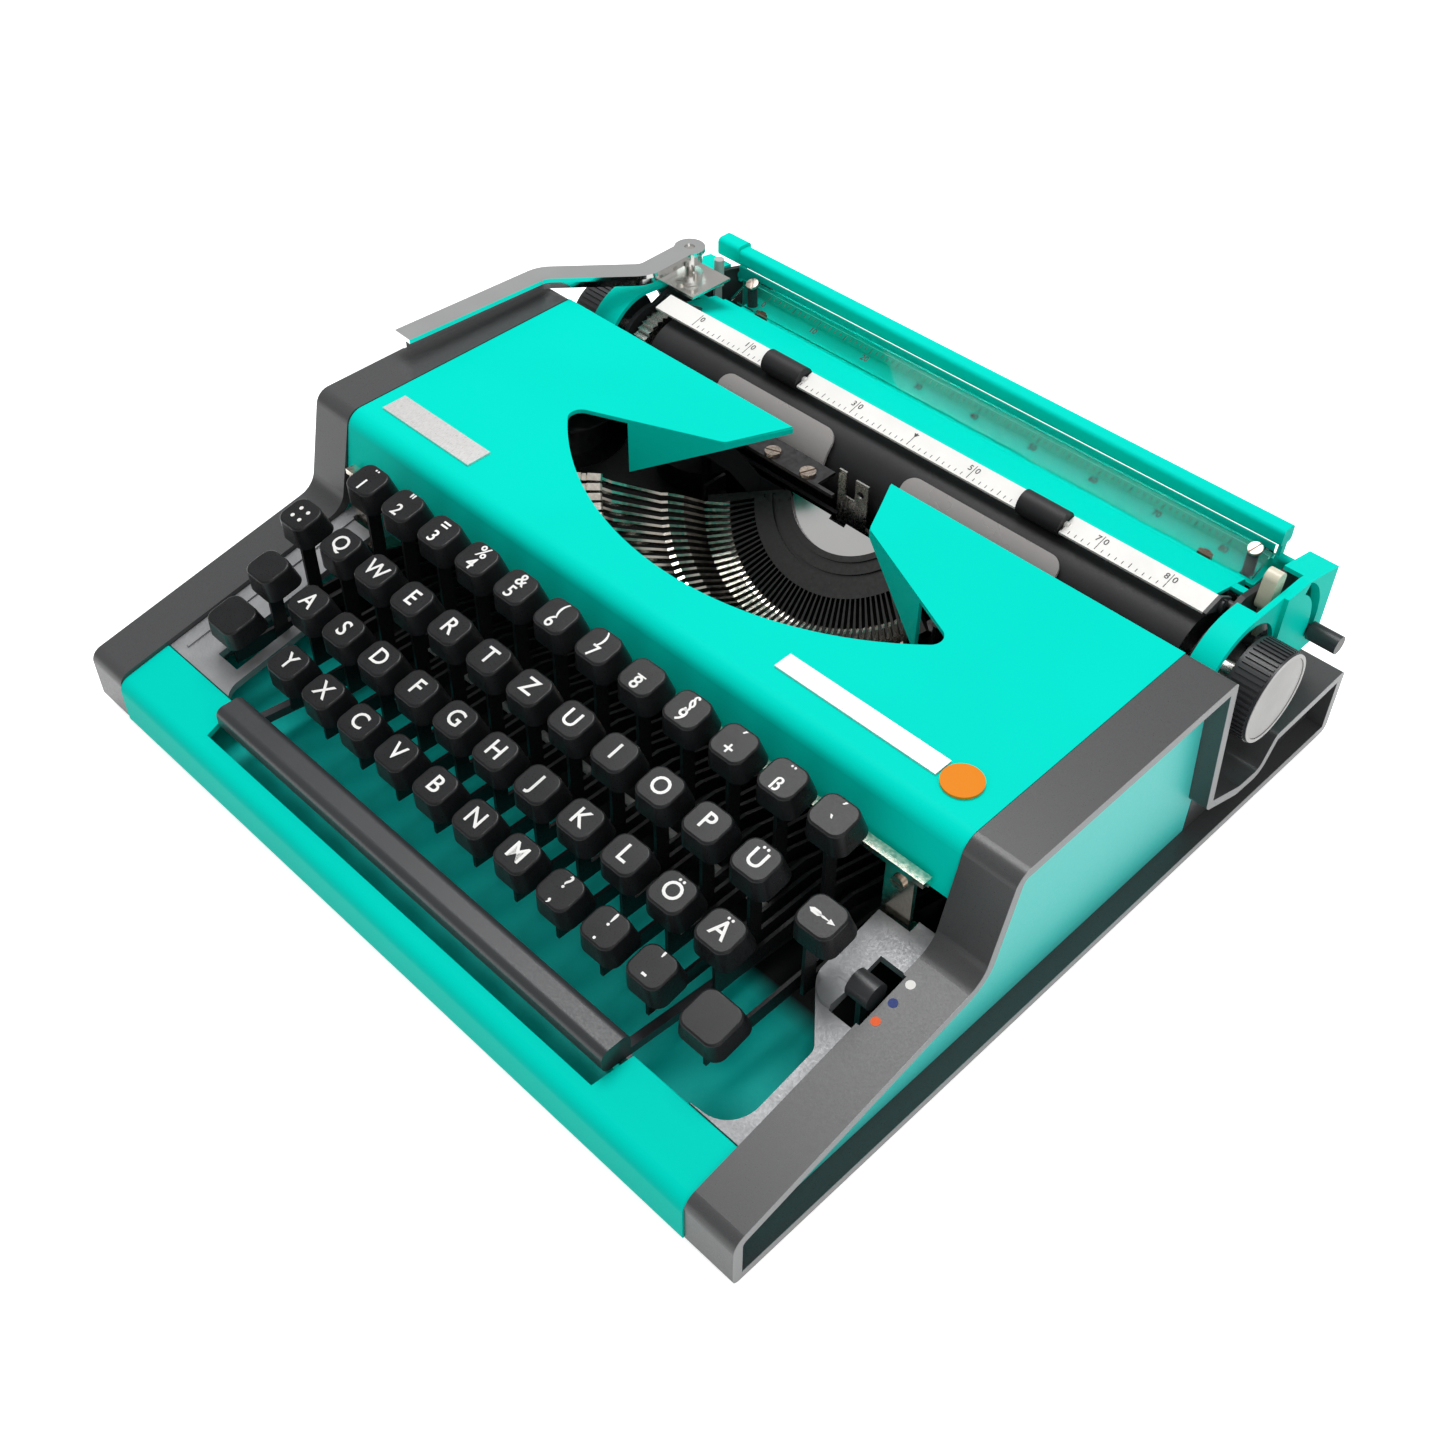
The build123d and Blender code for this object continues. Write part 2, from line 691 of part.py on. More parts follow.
def spool(side):
    """A ribbon spool: two flanges, the wound ribbon and a hub post."""
    with BuildPart() as reel:
        with Locations((side * SPOOL_X, SPOOL_Y, 0)):
            with Locations((0, 0, SPOOL_BASE)):
                Cylinder(25, 0.8, align=(Align.CENTER, Align.CENTER, Align.MAX))
            with Locations((0, 0, SPOOL_BASE + 15)):
                Cylinder(25, 0.8, align=(Align.CENTER, Align.CENTER, Align.MIN))
            with Locations((0, 0, SPOOL_BASE)):
                Cylinder(17.5, 15, align=(Align.CENTER, Align.CENTER, Align.MIN))
            with Locations((0, 0, SPOOL_BASE - 40)):
                Cylinder(3, 40, align=(Align.CENTER, Align.CENTER, Align.MIN))
    return reel


left_spool = spool(-1)
save(left_spool, "left_spool")
right_spool = spool(1)
save(right_spool, "right_spool")

with BuildPart() as ribbon_bracket:
    block((-63, -8), (57, 67.6), (65.7, 67.0))
    block((50, 63), (57, 67.6), (65.7, 67.0))
    for x in (-63, 60):
        block((x, x + 3), (57, 59), (FLOOR_TOP, 65.7))
    block((-8, 0), (57, 58.5), (65.7, 67.0))
    with Locations((-30.6, 60, 66), (-13.9, 60, 66)):
        Cylinder(1.55, 5, mode=Mode.SUBTRACT)
save(ribbon_bracket, "ribbon_bracket")

HOLDER_RADIUS = 17.0
with BuildPart() as card_holders:
    shell_arc(HOLDER_RADIUS, HOLDER_RADIUS + 1.1, 122, 190, -70, -15)
    shell_arc(HOLDER_RADIUS, HOLDER_RADIUS + 1.1, 122, 190, 17, 82)
    fillet([e for e in card_holders.edges() if e.geom_type == GeomType.LINE and e.length < 1.3], 5.0)
save(card_holders, "card_holders")

with BuildPart() as mainspring_drum:
    with Locations((-96, 92, FLOOR_TOP + 6)):
        Cylinder(20, 9)
    with Locations((-96, 92, FLOOR_TOP + 1)):
        Cylinder(5, 2)
save(mainspring_drum, "mainspring_drum")

with BuildPart() as bell:
    with Locations((100, 88, FLOOR_TOP + 9)):
        Sphere(12)
        Sphere(10.8, mode=Mode.SUBTRACT)
    block((70, 130), (60, 120), (0, FLOOR_TOP + 7), Mode.SUBTRACT)
    with Locations((100, 88, FLOOR_TOP)):
        Cylinder(2.2, 20.6, align=(Align.CENTER, Align.CENTER, Align.MIN))
save(bell, "bell")


def slotted_head(location, radius=2.6, height=1.2, slot=0.7):
    """Add one slotted screw head standing on a face."""
    with BuildPart(mode=Mode.PRIVATE) as head:
        Cylinder(radius, height, align=(Align.CENTER, Align.CENTER, Align.MIN))
        with Locations((0, 0, height)):
            Box(2 * radius + 1, slot, height, mode=Mode.SUBTRACT)
    with Locations(location):
        add(head.part)


with BuildPart() as screws:
    slotted_head(Location((-30.6, 60, 67.0), (0, 0, 20)), 2.9, 1.4)
    slotted_head(Location((-13.9, 60, 67.0), (0, 0, 70)), 2.9, 1.4)
    for x in (-125.7, 122.2):
        for z in (31.5, 57.0):
            slotted_head(Location((x, -48.5, z), (90, 0, 0)), 2.4, 1.0)
save(screws, "screws")

# ---- carriage -----------------------------------------------------------------------
LEFT_FACE = PLATE_LEFT - PLATE_THICKNESS / 2
RIGHT_FACE = PLATE_RIGHT + PLATE_THICKNESS / 2
INSIDE_LEFT = PLATE_LEFT + PLATE_THICKNESS / 2
INSIDE_RIGHT = PLATE_RIGHT - PLATE_THICKNESS / 2
BAIL_PIVOT = (95.0, 76.0)
SUPPORT_PIVOT = (134.5, 69.5)
RELEASE_PIVOT = (105.0, 58.3)
PAPER_PIVOT = (113.0, 48.0)
SELECT_PIVOT = (120.5, 50.0)
FEED_Z = 38.9
STOP_BAR = (126.0, 54.0)
SCALE_POSTS = ((-108.8, 130.2), (119.0, 129.5))
SIDE_PLATE = (
    (76, 47), (81, 35.5), (91, 35.5), (104, 40.3), (138, 40.3),
    (137.2, 71.6), (130, 73.5), (116, 76), (98, 79), (80, 72),
)

with BuildPart() as carriage_frame:
    for x in (LEFT_FACE, INSIDE_RIGHT):
        slab(SIDE_PLATE, x, x + PLATE_THICKNESS)
        rod(PLATEN_Y, PLATEN_Z, x, x + PLATE_THICKNESS, 15.5)
    for x in (LEFT_FACE - 1, INSIDE_RIGHT - 1):
        rod(PLATEN_Y, PLATEN_Z, x, x + 4, SHAFT_RADIUS + FIT, Mode.SUBTRACT)
        rod(*BAIL_PIVOT, x, x + 4, 1.5 + FIT, Mode.SUBTRACT)
        rod(*SUPPORT_PIVOT, x, x + 4, 1.5 + FIT, Mode.SUBTRACT)
        rod(PLATEN_Y, FEED_Z, x, x + 4, 1.5 + FIT, Mode.SUBTRACT)
    block((INSIDE_LEFT, INSIDE_RIGHT), (104, 138), (40.3, 42.0))
    block((INSIDE_LEFT, INSIDE_RIGHT), (136.4, 138), (42.0, 66.0))
    shell_arc(19.5, 20.8, 213, 252, INSIDE_LEFT, INSIDE_RIGHT)
    shell_arc(19.5, 20.8, 288, 338, INSIDE_LEFT, INSIDE_RIGHT)
    for y in (106, 123.5):
        block((-118, 130), (y, y + 1.5), (32.2, 40.3))
    block((-118, 130), (107.5, 112.4), (32.2, 33.7))
    block((-118, 130), (118.6, 123.5), (32.2, 33.7))
    rod(*STOP_BAR, INSIDE_LEFT, INSIDE_RIGHT, 2.5)
    rod(*RELEASE_PIVOT, RIGHT_FACE, 140.2, 2.0)
    rod(*PAPER_PIVOT, RIGHT_FACE, 136.8, 2.0)
    rod(*SELECT_PIVOT, INSIDE_LEFT, -117.2, 2.0)
    for x, y in SCALE_POSTS:
        with Locations((x, y, 42.0)):
            Cylinder(2.0, 27.9, align=(Align.CENTER, Align.CENTER, Align.MIN))
save(carriage_frame, "carriage_frame")

COVER_RING = 21.2
COVER_SHEET = 1.6
COVER_HOLE = 18.7
RING_START = 150.0


def cover_outline(roof, inset):
    """The (Y, Z) area of an end cover, drawn in on its upper side by an inset."""
    radius = COVER_RING - inset
    with BuildSketch(Plane.XY) as face:
        with BuildLine():
            bow = CenterArc((PLATEN_Y, PLATEN_Z), radius, RING_START, 90 - RING_START)
            top = [(y - inset * (i == len(roof) - 1), z - inset) for i, (y, z) in enumerate(roof)]
            Polyline(bow @ 1, *top, (roof[-1][0] - inset, 45.0), (99.0, 45.0), (92.0, PLATEN_Z), bow @ 0)
        make_face()
    return face.sketch


def build_cover(x0, x1, outer_x, roof):
    """Roof and back between X = x0 and x1, with a wall at the outer end."""
    step = COVER_SHEET if outer_x > 0 else -COVER_SHEET
    with BuildPart() as cover:
        outer = Plane.YZ.offset(x0) * cover_outline(roof, 0.0)
        hollow = Plane.YZ.offset(x0) * cover_outline(roof, COVER_SHEET)
        extrude(outer, amount=x1 - x0)
        extrude(hollow, amount=x1 - x0, mode=Mode.SUBTRACT)
        block((x0 - 1, x1 + 1), (60, roof[-1][0] - COVER_SHEET - 0.01), (30, 46.0), Mode.SUBTRACT)
        wall = Plane.YZ.offset(outer_x) * cover_outline(roof, 0.0)
        extrude(wall, amount=-step)
        rod(PLATEN_Y, PLATEN_Z, x0 - 5, x1 + 5, COVER_HOLE, Mode.SUBTRACT)
    return cover


with BuildPart() as left_end_cover:
    add(build_cover(-133.6, -122.3, -133.6, ((98.0, 80.2), (113.0, 77.0), (131.6, 74.0))).part)
    block((-123.9, -122.0), (121, 131), (50, 60))
save(left_end_cover, "left_end_cover")

SLOT_RADIUS = 23.0
with BuildPart() as right_end_cover:
    add(build_cover(134.3, 143.2, 143.2, ((100.0, 80.8), (117.0, 80.4), (136.0, 76.0))).part)
    slab(((104.5, 46), (136, 46), (136, 76.0), (117, 80.4), (104.5, 80.6)), 143.2, 144.8)
    with BuildSketch(Plane.YZ.offset(140)) as track:
        with BuildLine():
            path = CenterArc(RELEASE_PIVOT, SLOT_RADIUS, -15, 74)
        trace(path, line_width=4.4)
    extrude(track.sketch, amount=6, mode=Mode.SUBTRACT)
    block((134.0, 141.2), (92.0, 119.0), (74, 84), Mode.SUBTRACT)
    block((134.0, 135.9), (126, 136), (50, 60))
save(right_end_cover, "right_end_cover")

with BuildPart() as paper_table:
    table = ((97.4, 74.4), (116.0, 69.6), (116.0, 68.4), (97.0, 73.2))
    slab(table, -115, 124)
    apron = ((115.4, 69.8), (117.2, 69.3), (119.2, 62.2), (121.1, 62.2), (121.1, 61.0), (118.2, 61.0), (115.4, 68.5))
    slab(apron, -111, 124)
    block((-111, 124), (124.7, 136.4), (60.8, 62.0))
    for x, y in SCALE_POSTS:
        with Locations((x, y, 61.4)):
            Cylinder(2.3, 4, mode=Mode.SUBTRACT)
    slab(((108.0, 71.6), (112.0, 70.6), (112.0, 69.4), (108.0, 70.4)), INSIDE_LEFT, -115)
    slab(((108.0, 71.6), (112.0, 70.6), (112.0, 69.4), (108.0, 70.4)), 124, INSIDE_RIGHT)
save(paper_table, "paper_table")

with BuildPart() as margin_scale:
    rule = ((120.5, 67.4), (131.4, 72.0), (131.0, 73.1), (120.1, 68.5))
    slab(rule, -111.0, 124.8)
save(margin_scale, "margin_scale")

RETURN_PIVOT = (-123.4, 110.0)
with BuildPart() as line_space_plate:
    block((-127.5, -106), (94.6, 114.6), (80.6, 81.6))
    with Locations((RETURN_PIVOT[0], RETURN_PIVOT[1], 81.6)):
        Cylinder(2.0, 7.6, align=(Align.CENTER, Align.CENTER, Align.MIN))
    with Locations((-116.2, 106.0, 81.6)):
        Cylinder(1.0, 1.6, align=(Align.CENTER, Align.CENTER, Align.MIN))
    slotted_head(Location((-116.7, 98.8, 81.6), (0, 0, 30)), 2.4, 0.9)
    slotted_head(Location((-110.8, 98.7, 81.6), (0, 0, 60)), 2.4, 0.9)
    block((-120.0, -118.6), (98.5, 112), (76.9, 80.6))
save(line_space_plate, "line_space_plate")

with BuildPart() as return_lever:
    with BuildSketch(Plane.XY.offset(88.2)) as plate:
        with BuildLine():
            FilletPolyline((-150.3, -6.3), (-148.0, 57.0), (-122.6, 86.0), RETURN_PIVOT, radius=9)
        trace(line_width=9.0)
        with Locations(RETURN_PIVOT):
            Circle(6.0)
    extrude(plate.sketch, amount=1.6)
    with BuildSketch(Plane.XY.offset(84.0)) as flange:
        with BuildLine():
            FilletPolyline((-150.3, -6.0), (-148.0, 57.0), (-122.6, 86.0), (-123.3, 106), radius=9)
        trace(line_width=3.0)
        with Locations(RETURN_PIVOT):
            Circle(5.0)
    extrude(flange.sketch, amount=4.2)
    with Locations((RETURN_PIVOT[0], RETURN_PIVOT[1], 80)):
        Cylinder(2.0 + FIT, 30, mode=Mode.SUBTRACT)
save(return_lever, "return_lever")

with BuildPart() as line_space_selector:
    slab(((117.6, 46.4), (122.6, 46.4), (122.4, 53), (121.8, 82), (119.0, 82), (117.6, 53)), -119.0, -117.8)
    rod(*SELECT_PIVOT, -120, -117, 2.0 + FIT, Mode.SUBTRACT)
    with Locations((-117.8, 120.5, 77.0)):
        Cylinder(1.9, 11)
save(line_space_selector, "line_space_selector")

with BuildPart() as paper_release_lever:
    slab(((109.6, 45), (116.4, 45), (116.4, 50), (111.8, 64), (110.4, 78), (106.0, 78), (108.2, 62), (109.4, 52)), 134.6, 136.0)
    rod(*PAPER_PIVOT, 134, 137, 2.0 + FIT, Mode.SUBTRACT)
    with BuildSketch(Plane.YZ.offset(134.6)) as head:
        with Locations(Location((107.0, 78.8), (0, 0, -8))):
            RectangleRounded(5.8, 14.4, 2.8)
    extrude(head.sketch, amount=4.8)
save(paper_release_lever, "paper_release_lever")

CRANK_ANGLE = radians(-9.3)
CRANK = (RELEASE_PIVOT[0] + SLOT_RADIUS * cos(CRANK_ANGLE), RELEASE_PIVOT[1] + SLOT_RADIUS * sin(CRANK_ANGLE))
with BuildPart() as carriage_release_lever:
    arm = ((104, 54.6), (CRANK[0], CRANK[1] - 3), (CRANK[0] + 3, CRANK[1]), (CRANK[0], CRANK[1] + 3), (106, 62))
    slab(arm, 138.4, 139.8)
    rod(*RELEASE_PIVOT, 138.4, 139.8, 3.6)
    rod(*RELEASE_PIVOT, 138, 141, 2.0 + FIT, Mode.SUBTRACT)
    rod(*CRANK, 139.8, 145.6, 1.6)
    rod(*CRANK, 145.6, 156.2, 3.25)
save(carriage_release_lever, "carriage_release_lever")

with BuildPart() as paper_support_bar:
    with BuildSketch(Plane.YZ.offset(-130)) as bar_end:
        with Locations((135.7, 77.6)):
            RectangleRounded(6.4, 6.4, 1.6)
    extrude(bar_end.sketch, amount=256)
    with BuildSketch(Plane.YZ.offset(-130)) as handle:
        with Locations((135.7, 78.4)):
            RectangleRounded(7.4, 7.6, 1.8)
    extrude(handle.sketch, amount=11)
    for x in (INSIDE_LEFT + 0.6, 124.6):
        slab(((132.8, 67.6), (136.2, 67.6), (136.6, 75), (134, 75)), x, x + 1.4)
    rod(*SUPPORT_PIVOT, LEFT_FACE, INSIDE_LEFT + 1, 1.5)
    rod(*SUPPORT_PIVOT, 125, RIGHT_FACE, 1.5)
save(paper_support_bar, "paper_support_bar")


def margin_stop(x):
    """A margin stop riding on the stop bar, with a pointer under the scale."""
    with BuildPart() as stop:
        block((x - 5, x + 5), (121.5, 130.5), (49.5, 58.5))
        block((x - 1.2, x + 1.2), (121.6, 124.2), (58.5, 66.8))
        block((x - 2.6, x + 2.6), (121.6, 123.4), (62.0, 66.8))
        rod(*STOP_BAR, x - 6, x + 6, 2.5 + FIT, Mode.SUBTRACT)
    return stop


LEFT_STOP = -96.9
RIGHT_STOP = 106.0
margin_stop_left = margin_stop(LEFT_STOP)
save(margin_stop_left, "margin_stop_left")
margin_stop_right = margin_stop(RIGHT_STOP)
save(margin_stop_right, "margin_stop_right")

# ---- platen, knobs, feed roller and bail --------------------------------------------
PLATEN_LEFT = -107.0
PLATEN_RIGHT = 128.0
with BuildPart() as platen:
    rod(PLATEN_Y, PLATEN_Z, PLATEN_LEFT, PLATEN_RIGHT, PLATEN_RADIUS)
    rod(PLATEN_Y, PLATEN_Z, PLATEN_LEFT - 1, PLATEN_RIGHT + 1, SHAFT_RADIUS, Mode.SUBTRACT)
save(platen, "platen")

RATCHET_TEETH = 36
with BuildPart() as platen_shaft:
    rod(PLATEN_Y, PLATEN_Z, -148.0, 155.0, SHAFT_RADIUS)
    points = []
    for tooth in range(RATCHET_TEETH):
        angle = 2 * 3.14159265 * tooth / RATCHET_TEETH
        points.append((PLATEN_Y + 16.0 * cos(angle), PLATEN_Z + 16.0 * sin(angle)))
        points.append((PLATEN_Y + 14.6 * cos(angle + 0.03), PLATEN_Z + 14.6 * sin(angle + 0.03)))
    slab(points, -116.5, -110.5)
    rod(PLATEN_Y, PLATEN_Z, -110.5, -107.0, 7.0)
save(platen_shaft, "platen_shaft")


def knob(x0, x1, radius, ribs, outer_end):
    """A ribbed platen knob with a dished outer end."""
    with BuildPart() as grip:
        rod(PLATEN_Y, PLATEN_Z, x0, x1, radius - 0.5)
        with BuildSketch(Plane.YZ.offset(x0 + 1.2)) as rib:
            with Locations((PLATEN_Y, PLATEN_Z)):
                with PolarLocations(radius - 0.7, ribs):
                    Rectangle(1.4, 0.9)
        extrude(rib.sketch, amount=x1 - x0 - 2.4)
        rod(PLATEN_Y, PLATEN_Z, x0 - 1, x1 + 1, SHAFT_RADIUS + 0.02, Mode.SUBTRACT)
        rod(PLATEN_Y, PLATEN_Z, outer_end - 1.6, outer_end + 1.6, radius - 1.7, Mode.SUBTRACT)
    return grip


left_knob = knob(-150.0, -134.6, 15.0, 48, -150.0)
save(left_knob, "left_knob")
right_knob = knob(145.4, 157.4, KNOB_RADIUS, 52, 157.4)
save(right_knob, "right_knob")

with BuildPart() as knob_cap:
    rod(PLATEN_Y, PLATEN_Z, 155.9, 157.1, KNOB_RADIUS - 1.8)
    rod(PLATEN_Y, PLATEN_Z, -149.7, -148.5, 13.2)
save(knob_cap, "knob_cap")

with BuildPart() as feed_roller:
    rod(PLATEN_Y, FEED_Z, -100.0, 120.0, 4.7)
    rod(PLATEN_Y, FEED_Z, LEFT_FACE, RIGHT_FACE, 1.5)
save(feed_roller, "feed_roller")

BAIL_LEFT = -113.0
BAIL_RIGHT = 130.0
BAIL_ARM_LEFT = -104.6
JOURNAL = (86.1, 80.3)
ROLLER_RADIUS = 4.4
ROLLERS = ((-58.0, -41.0), (57.0, 74.0))
with BuildPart() as paper_bail:
    strip = ((82.2, 78.9), (90.2, 80.9), (90.0, 81.8), (82.0, 79.8))
    slab(strip, BAIL_LEFT, BAIL_RIGHT)
    for x0, x1 in ROLLERS:
        slab(((80, 76), (93, 76), (93, 86), (80, 86)), x0 - 0.4, x1 + 0.4, Mode.SUBTRACT)
        rod(*JOURNAL, x0 - 1.5, x1 + 1.5, 1.2)
    for x in (BAIL_ARM_LEFT, BAIL_RIGHT - 1.2):
        arm = ((83, 79.2), (93.4, 74.2), (96.6, 74.0), (97.2, 77.2), (90.0, 81.8), (83, 80.0))
        slab(arm, x, x + 1.2)
    rod(*BAIL_PIVOT, LEFT_FACE, BAIL_ARM_LEFT + 0.6, 1.5)
    rod(*BAIL_PIVOT, BAIL_RIGHT - 0.6, RIGHT_FACE, 1.5)
    slotted_head(Location((BAIL_RIGHT - 1.2, 90.8, 78.0), (0, 90, 0)), 2.2, 2.2)
save(paper_bail, "paper_bail")

with BuildPart() as bail_rollers:
    for x0, x1 in ROLLERS:
        rod(*JOURNAL, x0, x1, ROLLER_RADIUS)
        rod(*JOURNAL, x0 - 1, x1 + 1, 1.2 + FIT, Mode.SUBTRACT)
save(bail_rollers, "bail_rollers")
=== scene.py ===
"""Finishes, lettering and staging of a flat portable typewriter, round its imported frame."""

import json
from math import atan, pi, radians

import bpy
from bpy.props import FloatProperty, FloatVectorProperty, PointerProperty
from mathutils import Matrix, Vector

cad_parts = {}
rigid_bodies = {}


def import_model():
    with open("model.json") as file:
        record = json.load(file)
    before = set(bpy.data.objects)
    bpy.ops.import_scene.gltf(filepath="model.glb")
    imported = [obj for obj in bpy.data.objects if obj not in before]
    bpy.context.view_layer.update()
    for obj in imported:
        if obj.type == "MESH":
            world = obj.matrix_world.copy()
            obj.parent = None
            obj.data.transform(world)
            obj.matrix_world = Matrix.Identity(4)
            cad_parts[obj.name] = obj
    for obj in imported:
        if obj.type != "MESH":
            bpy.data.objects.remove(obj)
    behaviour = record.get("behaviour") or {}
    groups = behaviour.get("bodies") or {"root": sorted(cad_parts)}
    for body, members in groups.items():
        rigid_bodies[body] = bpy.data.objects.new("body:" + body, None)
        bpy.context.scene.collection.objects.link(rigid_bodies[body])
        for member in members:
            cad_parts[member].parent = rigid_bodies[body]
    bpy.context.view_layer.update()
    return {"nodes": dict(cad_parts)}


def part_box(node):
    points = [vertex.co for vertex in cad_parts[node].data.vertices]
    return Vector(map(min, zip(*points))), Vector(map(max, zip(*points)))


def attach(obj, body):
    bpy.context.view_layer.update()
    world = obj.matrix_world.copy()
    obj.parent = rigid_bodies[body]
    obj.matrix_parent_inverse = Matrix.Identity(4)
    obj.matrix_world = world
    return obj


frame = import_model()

bl_info = {
    "name": "Portable typewriter",
    "version": (1, 0, 0),
    "blender": (4, 5, 0),
    "location": "View3D > Sidebar > Typewriter",
    "description": "Dresses the packed frame of a flat portable typewriter",
    "category": "Object",
}

MM = 0.001
KEY_PITCH = 19.0
CHARACTER_PITCH = 2.6
CAP_TILT = 12.0
CAP_LIFT = 0.06
PAIR_SPACING = 2.7
# each row: first key's X, Y, height of the cap's top, body that it rides on, legends
KEY_ROWS = (
    ("number_legends", -104.5, -57.5, 77.7, "number_row",
     ("¨|1", "\"|2", "=|3", "%|4", "&|5", "(|6", ")|7", "_|8", "§|9", "´|+", "¨|ß", "´|`")),
    ("upper_legends", -95.6, -76.9, 66.7, "upper_row", tuple("QWERTZUIOPÜ")),
    ("home_legends", -91.4, -94.7, 55.3, "home_row", tuple("ASDFG JKLÖÄ")),
    ("lower_legends", -82.5, -110.9, 44.8, "lower_row", tuple("YXCVBNM") + ("?|,", "!|.", "'|-")),
)
H_KEY = (-91.4 + 5 * KEY_PITCH, -94.7, 55.3)
MARGIN_RELEASE = (-117.4, -77.3, 67.0)
BACKSPACE = (119.0, -77.0, 64.0)
DOT_SPACING = 1.9
DOT_RADIUS = 0.75
# each piece of the arrow: corners, place along the cap, stretch along and across it
ARROW = ((6, -2.2, 2.3, 0.95), (4, 0.5, 2.9, 0.36), (3, 3.2, 1.5, 1.0))
# height below which each row shows its steel levers and not its caps, in metres
CAP_FOOT = {
    "number_row": 0.0680,
    "upper_row": 0.0570,
    "home_row": 0.0456,
    "lower_row": 0.0350,
    "shift": 0.0357,
    "shift_lock": 0.0500,
    "backspace": 0.0543,
}

# the two carriage scales: middle of the printed face, its lean, place of the zero,
# how many tens each has, and the one that the bail marks with a triangle
TENS = 9
BAIL_FACE = (0.0, 86.0, 80.87)
BAIL_LEAN = 14.0
BAIL_ZERO = -94.4
BAIL_POINTER = 4
DIGIT_STEP = 1.5
RULE_FACE = (0.0, 125.6, 70.87)
RULE_LEAN = 22.9
RULE_ZERO = -96.9

# the screws at the ends of the rule, and the apron under the paper support bar
SCREW_RADIUS = 2.5
SCREW_Y_Z = (128.6, 72.55)
APRON_PLACE = (2.6, 133.2, 72.1)
APRON_LENGTH = 243.0
APRON_DROP = 4.9
APRON_FOLD = 2.0

# the sloping top of the right band: its middle, its rise over its run, and the Y and Z
# of its front end, with the painted dots on it
BAND_MIDDLE = 140.7
BAND_SLOPE = 0.2135
BAND_START = (-146.0, 23.5)
SELECTOR_DOT_RADIUS = 1.45
SELECTOR_DOT_THICKNESS = 0.1
SELECTOR_DOT_LIFT = 0.07

# where one node changes finish, in metres; under the type basket the pan is painted near-black as
# painted shade, from the first Y below back to where its outside paint begins, this far in from its rear face
BAND_FACE_X = 0.15485
PAN_SHADE_FRONT = -0.076
PAN_PAINT_DEPTH = 0.0008
CARRIAGE_WALL_Y = 0.1362
BAIL_ARMS_Y = 0.0903
BAIL_END_X = 0.1287
SPACE_ROD_Y = -0.0577
KNOB_FACE_X = 0.15715

CAMERA_PLACE = (0.29891, -0.29871, 0.42076)
CAMERA_RIGHT = (0.7072, 0.7069, 0.0084)
CAMERA_UP = (-0.5042, 0.4960, 0.7070)
CAMERA_BACK = (0.4956, -0.5042, 0.7072)
LENS = 42.41


# ---- settings -----------------------------------------------------------------------
def colour_property(name, description, default):
    """A colour that the panel shows."""
    return FloatVectorProperty(
        name=name, description=description, subtype="COLOR", size=3, min=0.0, max=1.0, default=default
    )


def length_property(name, description, millimetres):
    """A length that the panel shows."""
    return FloatProperty(name=name, description=description, default=millimetres * MM, unit="LENGTH")


class TypewriterColours(bpy.types.PropertyGroup):
    """Colours of the main finishes, linear."""

    cover: colour_property("Covers", "Textured paint of the covers", (0.0, 0.77, 0.63))
    pan: colour_property("Pan", "Textured paint of the base pan", (0.0, 0.56, 0.50))
    # the side panels' teal is lighter and redder than the covers' teal, as painted light and painted
    # reflection
    sides: colour_property("Sides", "Paint of the side panels", (0.075, 0.76, 0.70))
    band: colour_property("Side bands", "Moulded side bands", (0.066, 0.067, 0.069))
    cut_edge: colour_property("Band edges", "Outer edge of the side bands", (0.21, 0.21, 0.215))
    caps: colour_property("Keys", "Key caps", (0.012, 0.0125, 0.0135))
    legends: colour_property("Legends", "Lettering of the keys", (0.90, 0.90, 0.88))
    casting: colour_property("Keyboard frame", "Cast keyboard frame", (0.34, 0.345, 0.355))
    scale: colour_property("Scales", "Face of the paper bail's scale", (0.88, 0.87, 0.84))
    badge: colour_property("Badge", "Round badge", (0.86, 0.26, 0.008))


class TypewriterSizes(bpy.types.PropertyGroup):
    """Sizes of the lettering."""

    letter: length_property("Letters", "Size of a single legend", 8.3)
    pair: length_property("Pairs", "Size of each of two legends on one key", 6.5)
    number: length_property("Scale numbers", "Size of the numbers on the scales", 3.3)
    weight: length_property("Weight", "How much a stroke is swelled", 0.09)
    ink: length_property("Ink", "Thickness of printed lettering", 0.05)


# ---- selection and finishing --------------------------------------------------------
def deselect():
    """Leave nothing selected."""
    for item in bpy.context.view_layer.objects:
        item.select_set(False)


def take(*pieces):
    """Select these pieces only, the first one active."""
    deselect()
    for piece in pieces:
        piece.select_set(True)
    bpy.context.view_layer.objects.active = pieces[0]


def place(piece, matrix):
    """Bring a piece to its place and leave its object at the origin."""
    take(piece)
    piece.matrix_world = matrix
    bpy.context.view_layer.update()
    bpy.ops.object.transform_apply(location=True, rotation=True, scale=True)


def join(pieces, name):
    """Make several meshes one piece."""
    take(*pieces)
    if len(pieces) > 1:
        bpy.ops.object.join()
    piece = bpy.context.view_layer.objects.active
    piece.name = name
    piece.data.name = name
    return piece


def modify(piece, kind, **settings):
    """Give the active piece a modifier with these settings, and apply it."""
    modifier = piece.modifiers.new(kind.lower(), kind)
    for name, value in settings.items():
        setattr(modifier, name, value)
    bpy.ops.object.modifier_apply(modifier=modifier.name)


